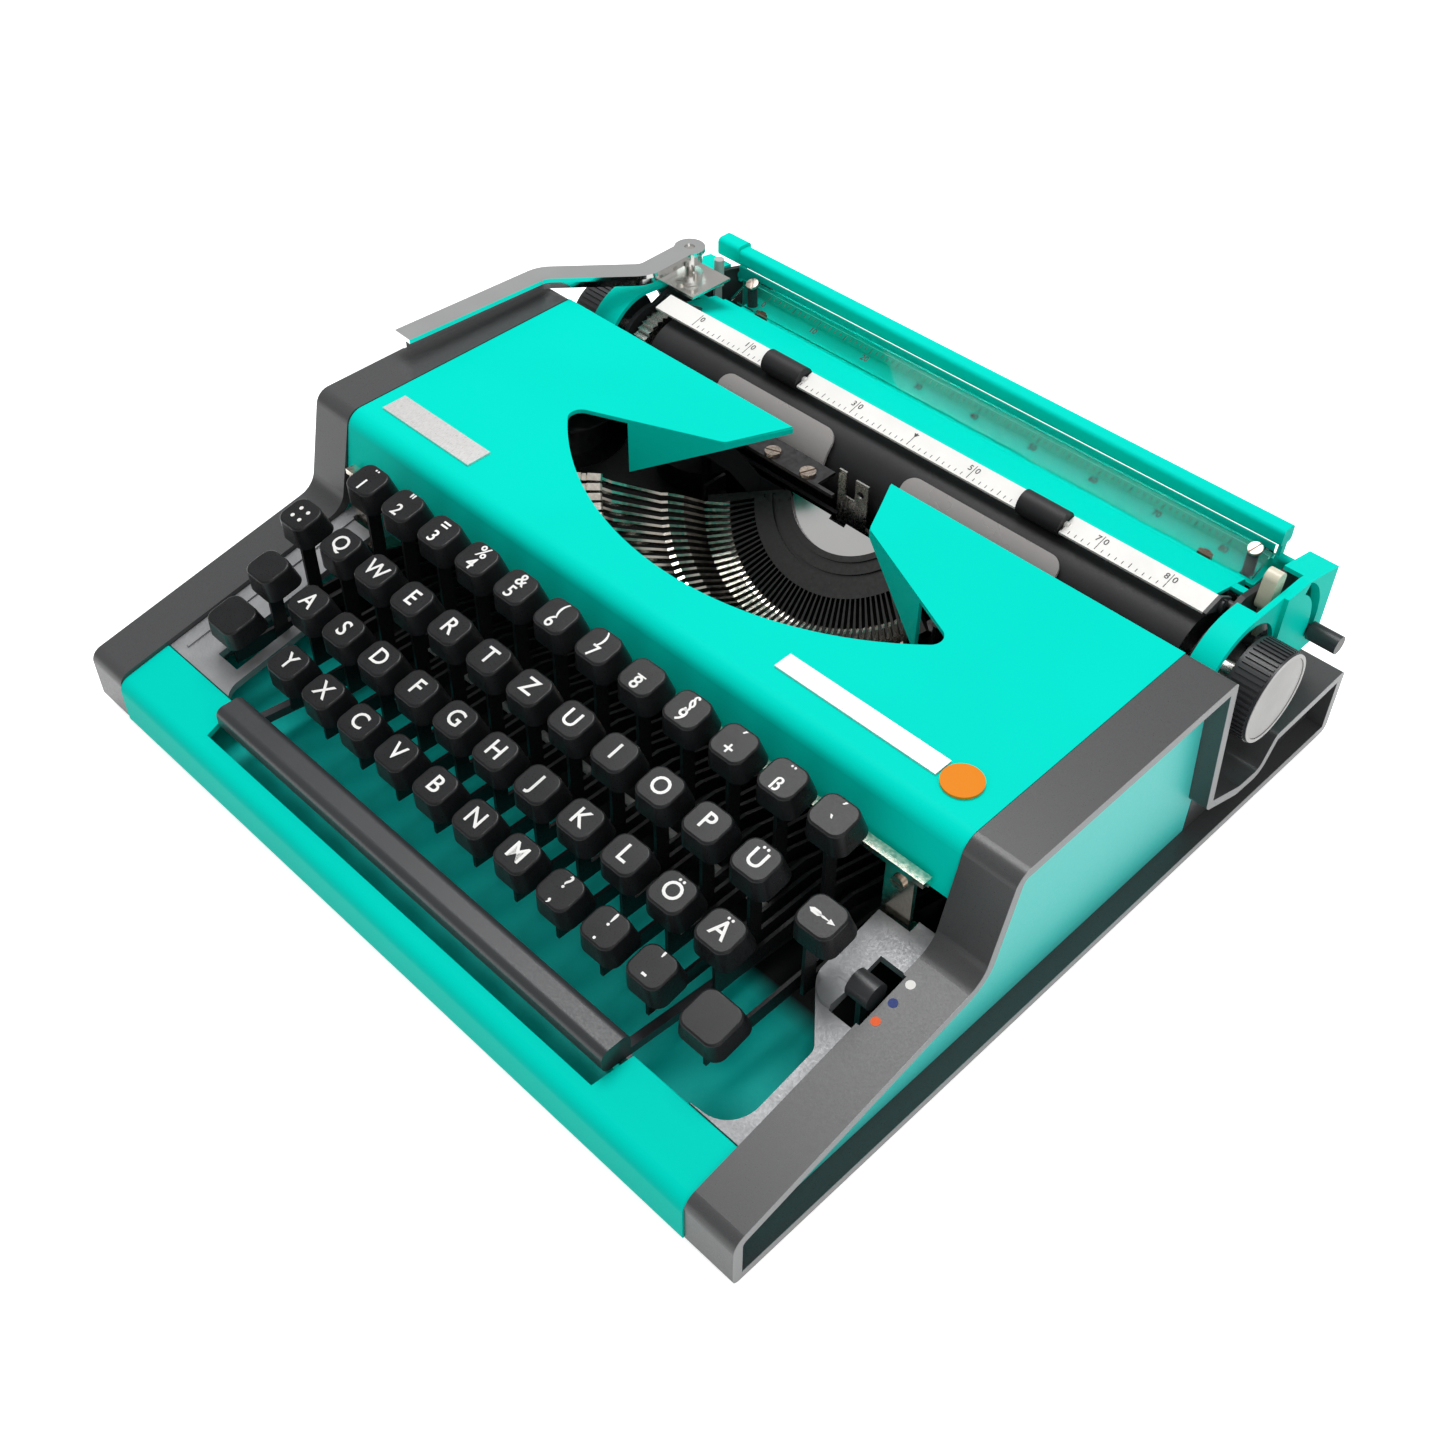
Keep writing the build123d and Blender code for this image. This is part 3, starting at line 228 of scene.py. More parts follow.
def printed_shape(corners, radius, thickness, turn=0.0, stretch=(1.0, 1.0)):
    """A regular shape on the XY plane, turned, stretched and as thick as its ink."""
    deselect()
    bpy.ops.mesh.primitive_circle_add(
        vertices=corners, radius=radius * MM, fill_type="NGON", rotation=(0, 0, turn)
    )
    shape = bpy.context.view_layer.objects.active
    bpy.ops.object.transform_apply(location=False, rotation=True, scale=False)
    shape.scale = (*stretch, 1.0)
    bpy.ops.object.transform_apply(location=False, rotation=False, scale=True)
    modify(shape, "SOLIDIFY", thickness=thickness)
    return shape


def shifted(plane, x, y, z=0.0):
    """A plane moved by x and y along itself and by z off itself, in millimetres."""
    return plane @ Matrix.Translation(Vector((x, y, z)) * MM)


def leaning(middle, lean):
    """The plane through a point that leans back by an angle in degrees."""
    return Matrix.Translation(Vector(middle) * MM) @ Matrix.Rotation(radians(lean), 4, "X")


def dress(piece, material, body):
    """Give a finished piece its material, body and slot."""
    piece.data.materials.clear()
    piece.data.materials.append(material)
    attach(piece, body)


def lettering(text, size, thickness, matrix, align="CENTER", weight=0.0):
    """Raised lettering as a mesh, standing on the XY plane of a matrix."""
    deselect()
    bpy.ops.object.text_add(location=(0, 0, 0))
    piece = bpy.context.view_layer.objects.active
    piece.data.body = text
    piece.data.size = size
    piece.data.align_x = align
    piece.data.align_y = "CENTER"
    piece.data.resolution_u = 4
    piece.data.extrude = thickness / 2
    piece.data.offset = weight
    bpy.ops.object.convert(target="MESH")
    piece = bpy.context.view_layer.objects.active
    place(piece, matrix)
    return piece


def key_matrix(x, y, z, dx=0.0, dy=0.0):
    """The plane of a cap's top, moved along it by dx and dy, in millimetres."""
    return shifted(leaning((x, y, z), CAP_TILT), dx, dy, CAP_LIFT)


# ---- materials ----------------------------------------------------------------------
class Finish:
    """A procedural material on Object coordinates, built up node by node."""

    def __init__(self, name):
        self.material = bpy.data.materials.new(name)
        self.material.use_nodes = True
        self.nodes = self.material.node_tree.nodes
        self.links = self.material.node_tree.links
        self.shader = self.nodes["Principled BSDF"]
        self.place = self.nodes.new("ShaderNodeTexCoord").outputs["Object"]

    def noise(self, scale, detail=2.0, stretch=None):
        """Noise about 1 / scale metres across, scaled along X, Y and Z if asked."""
        node = self.nodes.new("ShaderNodeTexNoise")
        node.inputs["Scale"].default_value = scale
        node.inputs["Detail"].default_value = detail
        source = self.place
        if stretch:
            mapping = self.nodes.new("ShaderNodeMapping")
            mapping.inputs["Scale"].default_value = stretch
            self.links.new(source, mapping.inputs["Vector"])
            source = mapping.outputs["Vector"]
        self.links.new(source, node.inputs["Vector"])
        return node.outputs["Fac"]

    def spread(self, value, low, high, start=0.3, end=0.7):
        """A value from start to end, spread out to run from low to high."""
        node = self.nodes.new("ShaderNodeMapRange")
        node.inputs["From Min"].default_value = start
        node.inputs["From Max"].default_value = end
        node.inputs["To Min"].default_value = low
        node.inputs["To Max"].default_value = high
        self.links.new(value, node.inputs["Value"])
        return node.outputs["Result"]

    def blend(self, factor, first, second):
        """The first colour where the factor is 0, and the second where it is 1."""
        node = self.nodes.new("ShaderNodeMix")
        node.data_type = "RGBA"
        self.links.new(factor, node.inputs["Factor"])
        for value, socket in ((first, node.inputs["A"]), (second, node.inputs["B"])):
            if hasattr(value, "is_output"):
                self.links.new(value, socket)
            else:
                socket.default_value = (*value, 1.0)
        return node.outputs["Result"]

    def axis(self, index):
        """X, Y or Z of the point, in metres."""
        node = self.nodes.new("ShaderNodeSeparateXYZ")
        self.links.new(self.place, node.inputs["Vector"])
        return node.outputs[index]

    def math(self, operation, *values):
        """One arithmetic step on sockets or plain numbers."""
        node = self.nodes.new("ShaderNodeMath")
        node.operation = operation
        for socket, value in zip(node.inputs, values):
            if hasattr(value, "is_output"):
                self.links.new(value, socket)
            else:
                socket.default_value = value
        return node.outputs[0]

    def colour(self, value):
        """Set the base colour, from a socket or as one plain colour."""
        if hasattr(value, "is_output"):
            self.links.new(value, self.shader.inputs["Base Color"])
        else:
            self.shader.inputs["Base Color"].default_value = (*value, 1.0)

    def rough(self, value):
        """Set the roughness, from a socket or as one plain number."""
        if hasattr(value, "is_output"):
            self.links.new(value, self.shader.inputs["Roughness"])
        else:
            self.shader.inputs["Roughness"].default_value = value

    def bump(self, height, strength, distance):
        """Raise the surface by a height that is up to this distance in metres."""
        node = self.nodes.new("ShaderNodeBump")
        node.inputs["Strength"].default_value = strength
        node.inputs["Distance"].default_value = distance
        self.links.new(height, node.inputs["Height"])
        self.links.new(node.outputs["Normal"], self.shader.inputs["Normal"])


def shade(colour, factor):
    """A lighter or darker tint of a colour."""
    return tuple(min(1.0, c * factor) for c in colour)


def textured_paint(name, colour, gloss=0.02):
    """Stove enamel with a fine orange-peel grain."""
    finish = Finish(name)
    grain = finish.noise(1500.0, 3.0)
    cloud = finish.noise(14.0, 2.0)
    finish.colour(finish.blend(finish.spread(cloud, 0.0, 1.0), shade(colour, 0.96), shade(colour, 1.0)))
    finish.rough(finish.spread(grain, 0.36, 0.5))
    finish.shader.inputs["Specular IOR Level"].default_value = gloss
    finish.bump(grain, 0.18, 0.00012)
    return finish.material


def paint_with_painted_shade(name, colour, painted_shade, front, rear):
    """Textured paint, with near-black painted shade between two values of Y."""
    finish = Finish(name)
    grain = finish.noise(1500.0, 3.0)
    cloud = finish.noise(14.0, 2.0)
    paint = finish.blend(finish.spread(cloud, 0.0, 1.0), shade(colour, 0.92), colour)
    # near-black painted shade where Y lies between front and rear
    behind = finish.spread(finish.axis(1), 0.0, 1.0, front - 0.004, front + 0.004)
    inside = finish.math("LESS_THAN", finish.axis(1), rear)
    finish.colour(finish.blend(finish.math("MULTIPLY", behind, inside), paint, painted_shade))
    finish.rough(finish.spread(grain, 0.45, 0.6))
    finish.shader.inputs["Specular IOR Level"].default_value = 0.15
    finish.bump(grain, 0.2, 0.00012)
    return finish.material


def moulded_plastic(name, colour, roughness=0.42, grain_size=2200.0, strength=0.08):
    """Plastic with a fine moulded grain."""
    finish = Finish(name)
    grain = finish.noise(grain_size, 2.0)
    cloud = finish.noise(40.0, 3.0)
    finish.colour(finish.blend(finish.spread(cloud, 0.0, 1.0), shade(colour, 0.88), shade(colour, 1.1)))
    finish.rough(finish.spread(grain, roughness - 0.06, roughness + 0.06))
    finish.bump(grain, strength, 0.0001)
    return finish.material


def side_band(name, colour, edge):
    """Moulded band with a speckled face and a pale trimmed edge."""
    finish = Finish(name)
    grain = finish.noise(2600.0, 2.0)
    speck = finish.noise(5200.0, 1.0)
    away = finish.math("ABSOLUTE", finish.axis(0))
    face = finish.blend(finish.spread(speck, 0.0, 1.0, 0.35, 0.75), shade(colour, 0.84), shade(colour, 1.2))
    at_edge = finish.math("GREATER_THAN", away, BAND_FACE_X)
    finish.colour(finish.blend(at_edge, face, edge))
    finish.rough(finish.spread(grain, 0.27, 0.4))
    finish.bump(grain, 0.1, 0.00008)
    return finish.material


def metal(name, colour, roughness=0.3, stretch=None, strength=0.06, grain_size=900.0, metallic=1.0):
    """Metal with a drawn or ground grain."""
    finish = Finish(name)
    grain = finish.noise(grain_size, 4.0, stretch)
    finish.colour(finish.blend(finish.spread(grain, 0.0, 1.0), shade(colour, 0.86), shade(colour, 1.08)))
    finish.rough(finish.spread(grain, roughness * 0.75, roughness * 1.3))
    finish.shader.inputs["Metallic"].default_value = metallic
    finish.bump(grain, strength, 0.00008)
    return finish.material


def polished(name, colour, roughness):
    """Bright plating with faint handling marks."""
    finish = Finish(name)
    marks = finish.noise(55.0, 3.0)
    finish.colour(finish.blend(finish.spread(marks, 0.0, 1.0), shade(colour, 0.95), colour))
    finish.rough(finish.spread(marks, roughness * 0.8, roughness * 1.25))
    finish.shader.inputs["Metallic"].default_value = 1.0
    finish.bump(marks, 0.02, 0.00004)
    return finish.material


def cast_metal(name, colour):
    """Unpainted casting with a sandy skin."""
    finish = Finish(name)
    grain = finish.noise(1100.0, 5.0)
    blotch = finish.noise(60.0, 3.0)
    finish.colour(finish.blend(finish.spread(blotch, 0.0, 1.0), shade(colour, 0.8), shade(colour, 1.12)))
    finish.rough(finish.spread(grain, 0.40, 0.58))
    finish.shader.inputs["Metallic"].default_value = 0.6
    finish.bump(grain, 0.35, 0.0002)
    return finish.material


def ground_rubber(name, colour):
    """Platen rubber, ground round its axis."""
    finish = Finish(name)
    turned = finish.noise(900.0, 3.0, (14.0, 1.0, 1.0))
    cloud = finish.noise(70.0, 4.0)
    finish.colour(finish.blend(finish.spread(cloud, 0.0, 1.0), shade(colour, 0.8), shade(colour, 1.25)))
    finish.rough(finish.spread(turned, 0.46, 0.66))
    finish.bump(turned, 0.12, 0.0001)
    return finish.material


def clear_plastic(name, tint, roughness, transmission, refraction=1.45):
    """Clear or smoked plastic."""
    finish = Finish(name)
    cloud = finish.noise(90.0, 2.0)
    finish.colour(tint)
    finish.rough(finish.spread(cloud, roughness * 0.8, roughness * 1.2))
    finish.shader.inputs["Transmission Weight"].default_value = transmission
    finish.shader.inputs["IOR"].default_value = refraction
    return finish.material


def key_material(name, cap_colour, lever_colour, split):
    """Satin cap above the split height, blackened steel lever below it."""
    finish = Finish(name)
    grain = finish.noise(2400.0, 2.0)
    above = finish.math("GREATER_THAN", finish.axis(2), split)
    cloud = finish.noise(120.0, 2.0)
    cap = finish.blend(finish.spread(cloud, 0.0, 1.0), shade(cap_colour, 0.8), shade(cap_colour, 1.3))
    finish.colour(finish.blend(above, lever_colour, cap))
    finish.shader.inputs["Specular IOR Level"].default_value = 0.25
    finish.rough(finish.spread(grain, 0.26, 0.36))
    finish.bump(grain, 0.05, 0.00006)
    return finish.material


def carriage_finish(name, steel, paint, rear):
    """Blackened side plates and rails, and a painted wall behind the given Y."""
    finish = Finish(name)
    grain = finish.noise(600.0, 4.0)
    wall = finish.math("GREATER_THAN", finish.axis(1), rear)
    plates = finish.blend(finish.spread(grain, 0.0, 1.0), shade(steel, 0.86), shade(steel, 1.08))
    finish.colour(finish.blend(wall, plates, paint))
    finish.rough(finish.spread(grain, 0.34, 0.52))
    finish.shader.inputs["Specular IOR Level"].default_value = 0.3
    finish.bump(grain, 0.1, 0.00008)
    return finish.material


def bail_enamel(name, face, steel):
    """White enamelled scale between blackened arms and journals."""
    finish = Finish(name)
    grain = finish.noise(700.0, 2.0)
    cloud = finish.noise(40.0, 3.0)
    arms = finish.math("GREATER_THAN", finish.axis(1), BAIL_ARMS_Y)
    end = finish.math("GREATER_THAN", finish.axis(0), BAIL_END_X)
    white = finish.blend(finish.spread(cloud, 0.0, 1.0), shade(face, 0.93), shade(face, 1.03))
    finish.colour(finish.blend(finish.math("MAXIMUM", arms, end), white, steel))
    finish.rough(finish.spread(grain, 0.38, 0.5))
    finish.bump(grain, 0.02, 0.0001)
    return finish.material


def bar_material(name, colour, steel):
    """Moulded space bar, and the steel rod that it turns on."""
    finish = Finish(name)
    grain = finish.noise(1800.0, 2.0)
    cloud = finish.noise(40.0, 3.0)
    rod = finish.math("GREATER_THAN", finish.axis(1), SPACE_ROD_Y)
    bar = finish.blend(finish.spread(cloud, 0.0, 1.0), shade(colour, 0.88), shade(colour, 1.1))
    finish.colour(finish.blend(rod, bar, steel))
    finish.rough(finish.spread(grain, 0.28, 0.40))
    finish.bump(grain, 0.05, 0.0001)
    return finish.material


def knob_material(name, colour, rim, outer):
    """Ribbed knob with its outer end face in the colour of its cap."""
    finish = Finish(name)
    grain = finish.noise(2200.0, 2.0)
    cloud = finish.noise(40.0, 3.0)
    away = finish.math("ABSOLUTE", finish.axis(0))
    face = finish.math("GREATER_THAN", away, outer)
    ribs = finish.blend(finish.spread(cloud, 0.0, 1.0), shade(colour, 0.88), shade(colour, 1.1))
    finish.colour(finish.blend(face, ribs, rim))
    finish.rough(finish.spread(grain, 0.34, 0.46))
    finish.bump(grain, 0.08, 0.0001)
    return finish.material


def cloth(name, colour):
    """Woven ribbon."""
    finish = Finish(name)
    across = finish.noise(4000.0, 1.0, (3.0, 1.0, 1.0))
    finish.colour(finish.blend(finish.spread(across, 0.0, 1.0), shade(colour, 0.7), shade(colour, 1.5)))
    finish.rough(0.9)
    finish.bump(across, 0.3, 0.0001)
    return finish.material


# ---- operators ----------------------------------------------------------------------
class TYPEWRITER_OT_finishes(bpy.types.Operator):
    """Give every node of the frame its finish"""

    bl_idname = "typewriter.finishes"
    bl_label = "Finishes"

    def execute(self, context):
        look = context.scene.typewriter_colours
        cover = tuple(look.cover)
        paint = textured_paint("cover_paint", cover)
        pan_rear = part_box("base_pan")[1][1] - PAN_PAINT_DEPTH
        # the pan is near-black under the type basket: painted shade for the dark inside of the basket
        pan = paint_with_painted_shade("pan_paint", tuple(look.pan), (0.006, 0.007, 0.007), PAN_SHADE_FRONT, pan_rear)
        # side panel paint: the cover teal made lighter and redder, as painted light and painted reflection
        sides = textured_paint("side_paint", tuple(look.sides), 0.5)
        black_steel = metal("blackened_steel", (0.06, 0.06, 0.062), 0.42, None, 0.1, 600.0)
        bright = metal("bright_steel", (0.62, 0.61, 0.58), 0.26, (1.0, 9.0, 1.0))
        plated = metal("nickel_plate", (0.80, 0.74, 0.64), 0.2, None, 0.03)
        bars = metal("type_bar_nickel", (0.95, 0.87, 0.77), 0.17, None, 0.04, 700.0)
        knob_black = (0.03, 0.031, 0.034)
        silver_grey = (0.50, 0.49, 0.48)
        carriage_black = (0.03, 0.03, 0.032)
        knob = moulded_plastic("knob_plastic", knob_black, 0.4)
        silver = moulded_plastic("silver_plastic", silver_grey, 0.45)
        ivory = moulded_plastic("ivory_plastic", (0.80, 0.75, 0.58), 0.3)
        rubber = ground_rubber("platen_rubber", (0.011, 0.0105, 0.012))
        caps = tuple(look.caps)
        band = side_band("side_band", tuple(look.band), tuple(look.cut_edge))
        steel_black = (0.012, 0.012, 0.013)
        finishes = {
            "top_cover": paint,
            # the front bar wears the cover paint darkened to 0.90, as painted shade
            "front_bar": textured_paint("front_paint", shade(cover, 0.90)),
            "left_end_cover": paint,
            "right_end_cover": paint,
            "paper_table": paint,
            "paper_support_bar": paint,
            "base_pan": pan,
            "side_panels": sides,
            "left_side_frame": band,
            "right_side_frame": band,
            "keyboard_frame": cast_metal("keyboard_casting", tuple(look.casting)),
            "key_guide_rail": plated,
            "lever_shaft": bright,
            "carriage_rail": bright,
            "card_holders": clear_plastic("smoked_plastic", (0.52, 0.49, 0.48), 0.3, 0.35),
            "mainspring_drum": black_steel,
            "bell": plated,
            "feet": moulded_plastic("foot_rubber", (0.02, 0.02, 0.02), 0.8, 900.0, 0.2),
            "screws": metal("old_nickel", (0.50, 0.42, 0.36), 0.3, None, 0.05),
            "ribbon": cloth("ribbon_cloth", (0.012, 0.012, 0.014)),
            "ribbon_bracket": black_steel,
            "basket_guides": black_steel,
            "name_plates": metal("plate_metal", (0.76, 0.75, 0.74), 0.35, (12.0, 1.0, 1.0), 0.05, 700.0, 0.6),
            "badge_disc": textured_paint("badge_enamel", tuple(look.badge), 0.12),
            "type_segment": metal("segment_steel", (0.085, 0.083, 0.082), 0.36, None, 0.08, 700.0),
            "type_bars": bars,
            "type_bar_h": bars,
            "type_guide": polished("guide_plate", (0.97, 0.96, 0.95), 0.16),
            "ribbon_vibrator": bright,
            "left_spool": black_steel,
            "right_spool": black_steel,
            "carriage_frame": carriage_finish("carriage_steel", carriage_black, cover, CARRIAGE_WALL_Y),
            "margin_scale": clear_plastic("clear_plastic", (0.90, 0.98, 0.97), 0.02, 1.0, 1.12),
            "line_space_plate": polished("nickel_sheet", (0.74, 0.72, 0.68), 0.22),
            "feed_roller": rubber,
            "platen": rubber,
            "platen_shaft": bright,
            "left_knob": knob,
            "right_knob": knob_material("right_knob_finish", knob_black, silver_grey, KNOB_FACE_X),
            "knob_cap": silver,
            "paper_bail": bail_enamel("scale_enamel", tuple(look.scale), carriage_black),
            "bail_rollers": rubber,
            "return_lever": polished("chrome_plate", (0.86, 0.87, 0.87), 0.12),
            "line_space_selector": silver,
            "paper_release_lever": ivory,
            "carriage_release_lever": knob,
            "margin_stop_left": moulded_plastic("stop_plastic", (0.16, 0.035, 0.012), 0.35),
            "number_row_keys": key_material("number_row_finish", caps, steel_black, CAP_FOOT["number_row"]),
            "upper_row_keys": key_material("upper_row_finish", caps, steel_black, CAP_FOOT["upper_row"]),
            "home_row_keys": key_material("home_row_finish", caps, steel_black, CAP_FOOT["home_row"]),
            "lower_row_keys": key_material("lower_row_finish", caps, steel_black, CAP_FOOT["lower_row"]),
            "space_bar": bar_material("bar_plastic", (0.034, 0.036, 0.039), (0.52, 0.52, 0.50)),
            "colour_selector": knob,
        }
        finishes["margin_stop_right"] = finishes["margin_stop_left"]
        finishes["h_key"] = finishes["home_row_keys"]
        finishes["shift_keys"] = key_material("shift_finish", caps, steel_black, CAP_FOOT["shift"])
        foot = CAP_FOOT["shift_lock"]
        finishes["shift_lock_key"] = key_material("shift_lock_finish", caps, steel_black, foot)
        finishes["margin_release_key"] = finishes["upper_row_keys"]
        finishes["backspace_key"] = key_material("backspace_finish", caps, steel_black, CAP_FOOT["backspace"])
        for name, node in frame["nodes"].items():
            material = finishes[name]
            if not node.material_slots:
                node.data.materials.append(material)
            for slot in node.material_slots:
                slot.material = material
        return {"FINISHED"}


class TYPEWRITER_OT_legends(bpy.types.Operator):
    """Letter the key caps"""

    bl_idname = "typewriter.legends"
    bl_label = "Key legends"

    def legend(self, text, height, size, x, y, z, dy=0.0):
        """One sign on a key cap."""
        return lettering(text, height, size.ink, key_matrix(x, y, z, 0.0, dy), weight=size.weight)

    def execute(self, context):
        look = context.scene.typewriter_colours
        size = context.scene.typewriter_sizes
        ink = moulded_plastic("legend_ink", tuple(look.legends), 0.5, 900.0, 0.02)
        for name, x0, y, z, body, legends in KEY_ROWS:
            marks = []
            for index, legend in enumerate(legends):
                x = x0 + index * KEY_PITCH
                if "|" in legend:
                    for sign, dy in zip(legend.split("|"), (PAIR_SPACING, -PAIR_SPACING)):
                        marks.append(self.legend(sign, size.pair, size, x, y, z, dy))
                elif legend.strip():
                    marks.append(self.legend(legend, size.letter, size, x, y, z))
            dress(join(marks, name), ink, body)
        dress(join([self.legend("H", size.letter, size, *H_KEY)], "h_legend"), ink, "h_key")
        dots = []
        for dx, dy in ((-1, 1), (1, 1), (-1, -1), (1, -1)):
            dot = printed_shape(20, DOT_RADIUS, size.ink)
            place(dot, key_matrix(*MARGIN_RELEASE, dx * DOT_SPACING, dy * DOT_SPACING))
            dots.append(dot)
        dress(join(dots, "margin_release_dots"), ink, "margin_release")
        parts = []
        for corners, dx, long, wide in ARROW:
            part = printed_shape(corners, 1.0, size.ink, -pi / 2, (long, wide))
            place(part, key_matrix(*BACKSPACE, dx, 0.0))
            parts.append(part)
        dress(join(parts, "backspace_arrow"), ink, "backspace")
        return {"FINISHED"}


class TYPEWRITER_OT_scales(bpy.types.Operator):
    """Print the ticks and numbers of the two carriage scales"""

    bl_idname = "typewriter.scales"
    bl_label = "Carriage scales"

    def ticks(self, name, matrix, zero, count, length, middle, ink, step=1, wide=0.22):
        """A row of ticks on a plane whose X runs along the scale, one every so many characters."""
        deselect()
        bpy.ops.mesh.primitive_plane_add(size=1.0)
        tick = bpy.context.view_layer.objects.active
        tick.name = name
        tick.scale = (wide * MM, length * MM, 1.0)
        bpy.ops.object.transform_apply(location=False, rotation=False, scale=True)
        modify(
            tick,
            "ARRAY",
            count=count,
            use_relative_offset=False,
            use_constant_offset=True,
            constant_offset_displace=(CHARACTER_PITCH * step * MM, 0.0, 0.0),
        )
        modify(tick, "SOLIDIFY", thickness=ink)
        place(tick, shifted(matrix, zero, middle))
        return tick

    def execute(self, context):
        size = context.scene.typewriter_sizes
        ink = moulded_plastic("scale_ink", (0.02, 0.02, 0.02), 0.5, 900.0, 0.0)
        bail = leaning(BAIL_FACE, BAIL_LEAN)
        marks = [
            self.ticks("bail_ticks", bail, BAIL_ZERO, 81, 1.3, -2.6, size.ink),
            self.ticks("bail_fives", bail, BAIL_ZERO, 17, 2.0, -2.2, size.ink, 5),
            self.ticks("bail_tens", bail, BAIL_ZERO, TENS, 4.0, 0.9, size.ink, 10),
        ]
        for ten in range(TENS):
            x = BAIL_ZERO + ten * 10 * CHARACTER_PITCH
            if ten == BAIL_POINTER:
                mark = printed_shape(3, 1.15, size.ink, pi)
                place(mark, shifted(bail, x, 1.9, 0.03))
                marks.append(mark)
                continue
            # a number straddles its long tick, and the zero stands beside it
            digits = str(ten * 10)
            for digit, dx in zip(digits, (-DIGIT_STEP, DIGIT_STEP) if ten else (DIGIT_STEP,)):
                marks.append(lettering(digit, size.number, size.ink, shifted(bail, x + dx, 1.0, 0.03)))
        dress(join(marks, "bail_scale_marks"), ink, "bail")
        rule = leaning(RULE_FACE, RULE_LEAN)
        marks = [
            self.ticks("rule_ticks", rule, RULE_ZERO, 81, 1.6, 2.2, size.ink, wide=0.34),
            self.ticks("rule_fives", rule, RULE_ZERO, 17, 2.4, 1.8, size.ink, 5, 0.34),
        ]
        for ten in range(TENS):
            where = shifted(rule, RULE_ZERO + ten * 10 * CHARACTER_PITCH, -1.9, 0.05)
            marks.append(lettering(str(ten * 10), size.number, size.ink, where, weight=0.07 * MM))
        dress(join(marks, "margin_scale_marks"), ink, "carriage")
        return {"FINISHED"}


class TYPEWRITER_OT_selector_marks(bpy.types.Operator):
    """Put the three ribbon-colour dots on the right band"""

    bl_idname = "typewriter.selector_marks"
    bl_label = "Selector dots"

    def execute(self, context):
        for name, y, colour in (
            ("white_dot", -63.2, (0.85, 0.84, 0.80)),
            ("blue_dot", -70.3, (0.012, 0.035, 0.19)),
            ("red_dot", -77.3, (0.84, 0.11, 0.012)),
        ):
            dot = printed_shape(32, SELECTOR_DOT_RADIUS, SELECTOR_DOT_THICKNESS * MM)
            z = BAND_START[1] + BAND_SLOPE * (y - BAND_START[0])
            turn = Matrix.Rotation(atan(BAND_SLOPE), 4, "X")
            where = Vector((BAND_MIDDLE, y, z + SELECTOR_DOT_LIFT)) * MM
            place(dot, Matrix.Translation(where) @ turn)
            dot.name = name
            dress(dot, textured_paint(name + "_paint", colour, 0.2), "housing")
        return {"FINISHED"}


class TYPEWRITER_OT_scale_screws(bpy.types.Operator):
    """Put a slotted screw at each end of the margin scale"""

    bl_idname = "typewriter.scale_screws"
    bl_label = "Scale screws"

    def execute(self, context):
        nickel = metal("screw_nickel", (0.55, 0.46, 0.40), 0.34, None, 0.05)
        heads = []
        for x, turn in ((-107.6, 35.0), (119.6, -20.0)):
            deselect()
            bpy.ops.mesh.primitive_cylinder_add(vertices=48, radius=SCREW_RADIUS * MM, depth=1.2 * MM)
            head = bpy.context.view_layer.objects.active
            deselect()
            bpy.ops.mesh.primitive_cube_add(size=1.0, location=(0, 0, 0.6 * MM))
            cutter = bpy.context.view_layer.objects.active
            cutter.scale = (0.6 * MM, 6.0 * MM, 0.9 * MM)
            bpy.ops.object.transform_apply(location=True, rotation=False, scale=True)
            take(head)
            modify(head, "BOOLEAN", operation="DIFFERENCE", object=cutter)
            corner = radians(40.0)
            modify(head, "BEVEL", width=0.22 * MM, segments=3, limit_method="ANGLE", angle_limit=corner)
            bpy.data.objects.remove(cutter, do_unlink=True)
            spin = Matrix.Rotation(radians(turn), 4, "Z")
            place(head, leaning((x, *SCREW_Y_Z), RULE_LEAN) @ spin)
            bpy.ops.object.shade_smooth_by_angle(angle=radians(30.0))
            heads.append(head)
        dress(join(heads, "scale_screws"), nickel, "carriage")
        return {"FINISHED"}


class TYPEWRITER_OT_support_apron(bpy.types.Operator):
    """Hang the folded front edge under the paper support bar"""

    bl_idname = "typewriter.support_apron"
    bl_label = "Support bar apron"

    def execute(self, context):
        deselect()
        bpy.ops.mesh.primitive_plane_add(size=1.0, rotation=(pi / 2, 0, 0))
        apron = bpy.context.view_layer.objects.active
        apron.scale = (APRON_LENGTH * MM, APRON_DROP * MM, 1.0)
        bpy.ops.object.transform_apply(location=False, rotation=True, scale=True)
        bpy.ops.object.mode_set(mode="EDIT")
        bpy.ops.mesh.select_all(action="DESELECT")
        bpy.ops.object.mode_set(mode="OBJECT")
        for edge in apron.data.edges:
            ends = [apron.data.vertices[index].co for index in edge.vertices]
            edge.select = all(end.z < 0.0 for end in ends)
        bpy.ops.object.mode_set(mode="EDIT")
        bpy.ops.mesh.select_mode(type="EDGE")
        bpy.ops.mesh.extrude_region_move(TRANSFORM_OT_translate={"value": (0.0, APRON_FOLD * MM, 0.0)})
        bpy.ops.mesh.select_all(action="SELECT")
        bpy.ops.mesh.normals_make_consistent(inside=False)
        bpy.ops.object.mode_set(mode="OBJECT")
        modify(apron, "SOLIDIFY", thickness=0.7 * MM, offset=1.0)
        modify(apron, "BEVEL", width=0.25 * MM, segments=2)
        place(apron, Matrix.Translation(Vector(APRON_PLACE) * MM))
        apron.name = "support_apron"
        dress(apron, bpy.data.materials["cover_paint"], "paper_support")
        return {"FINISHED"}


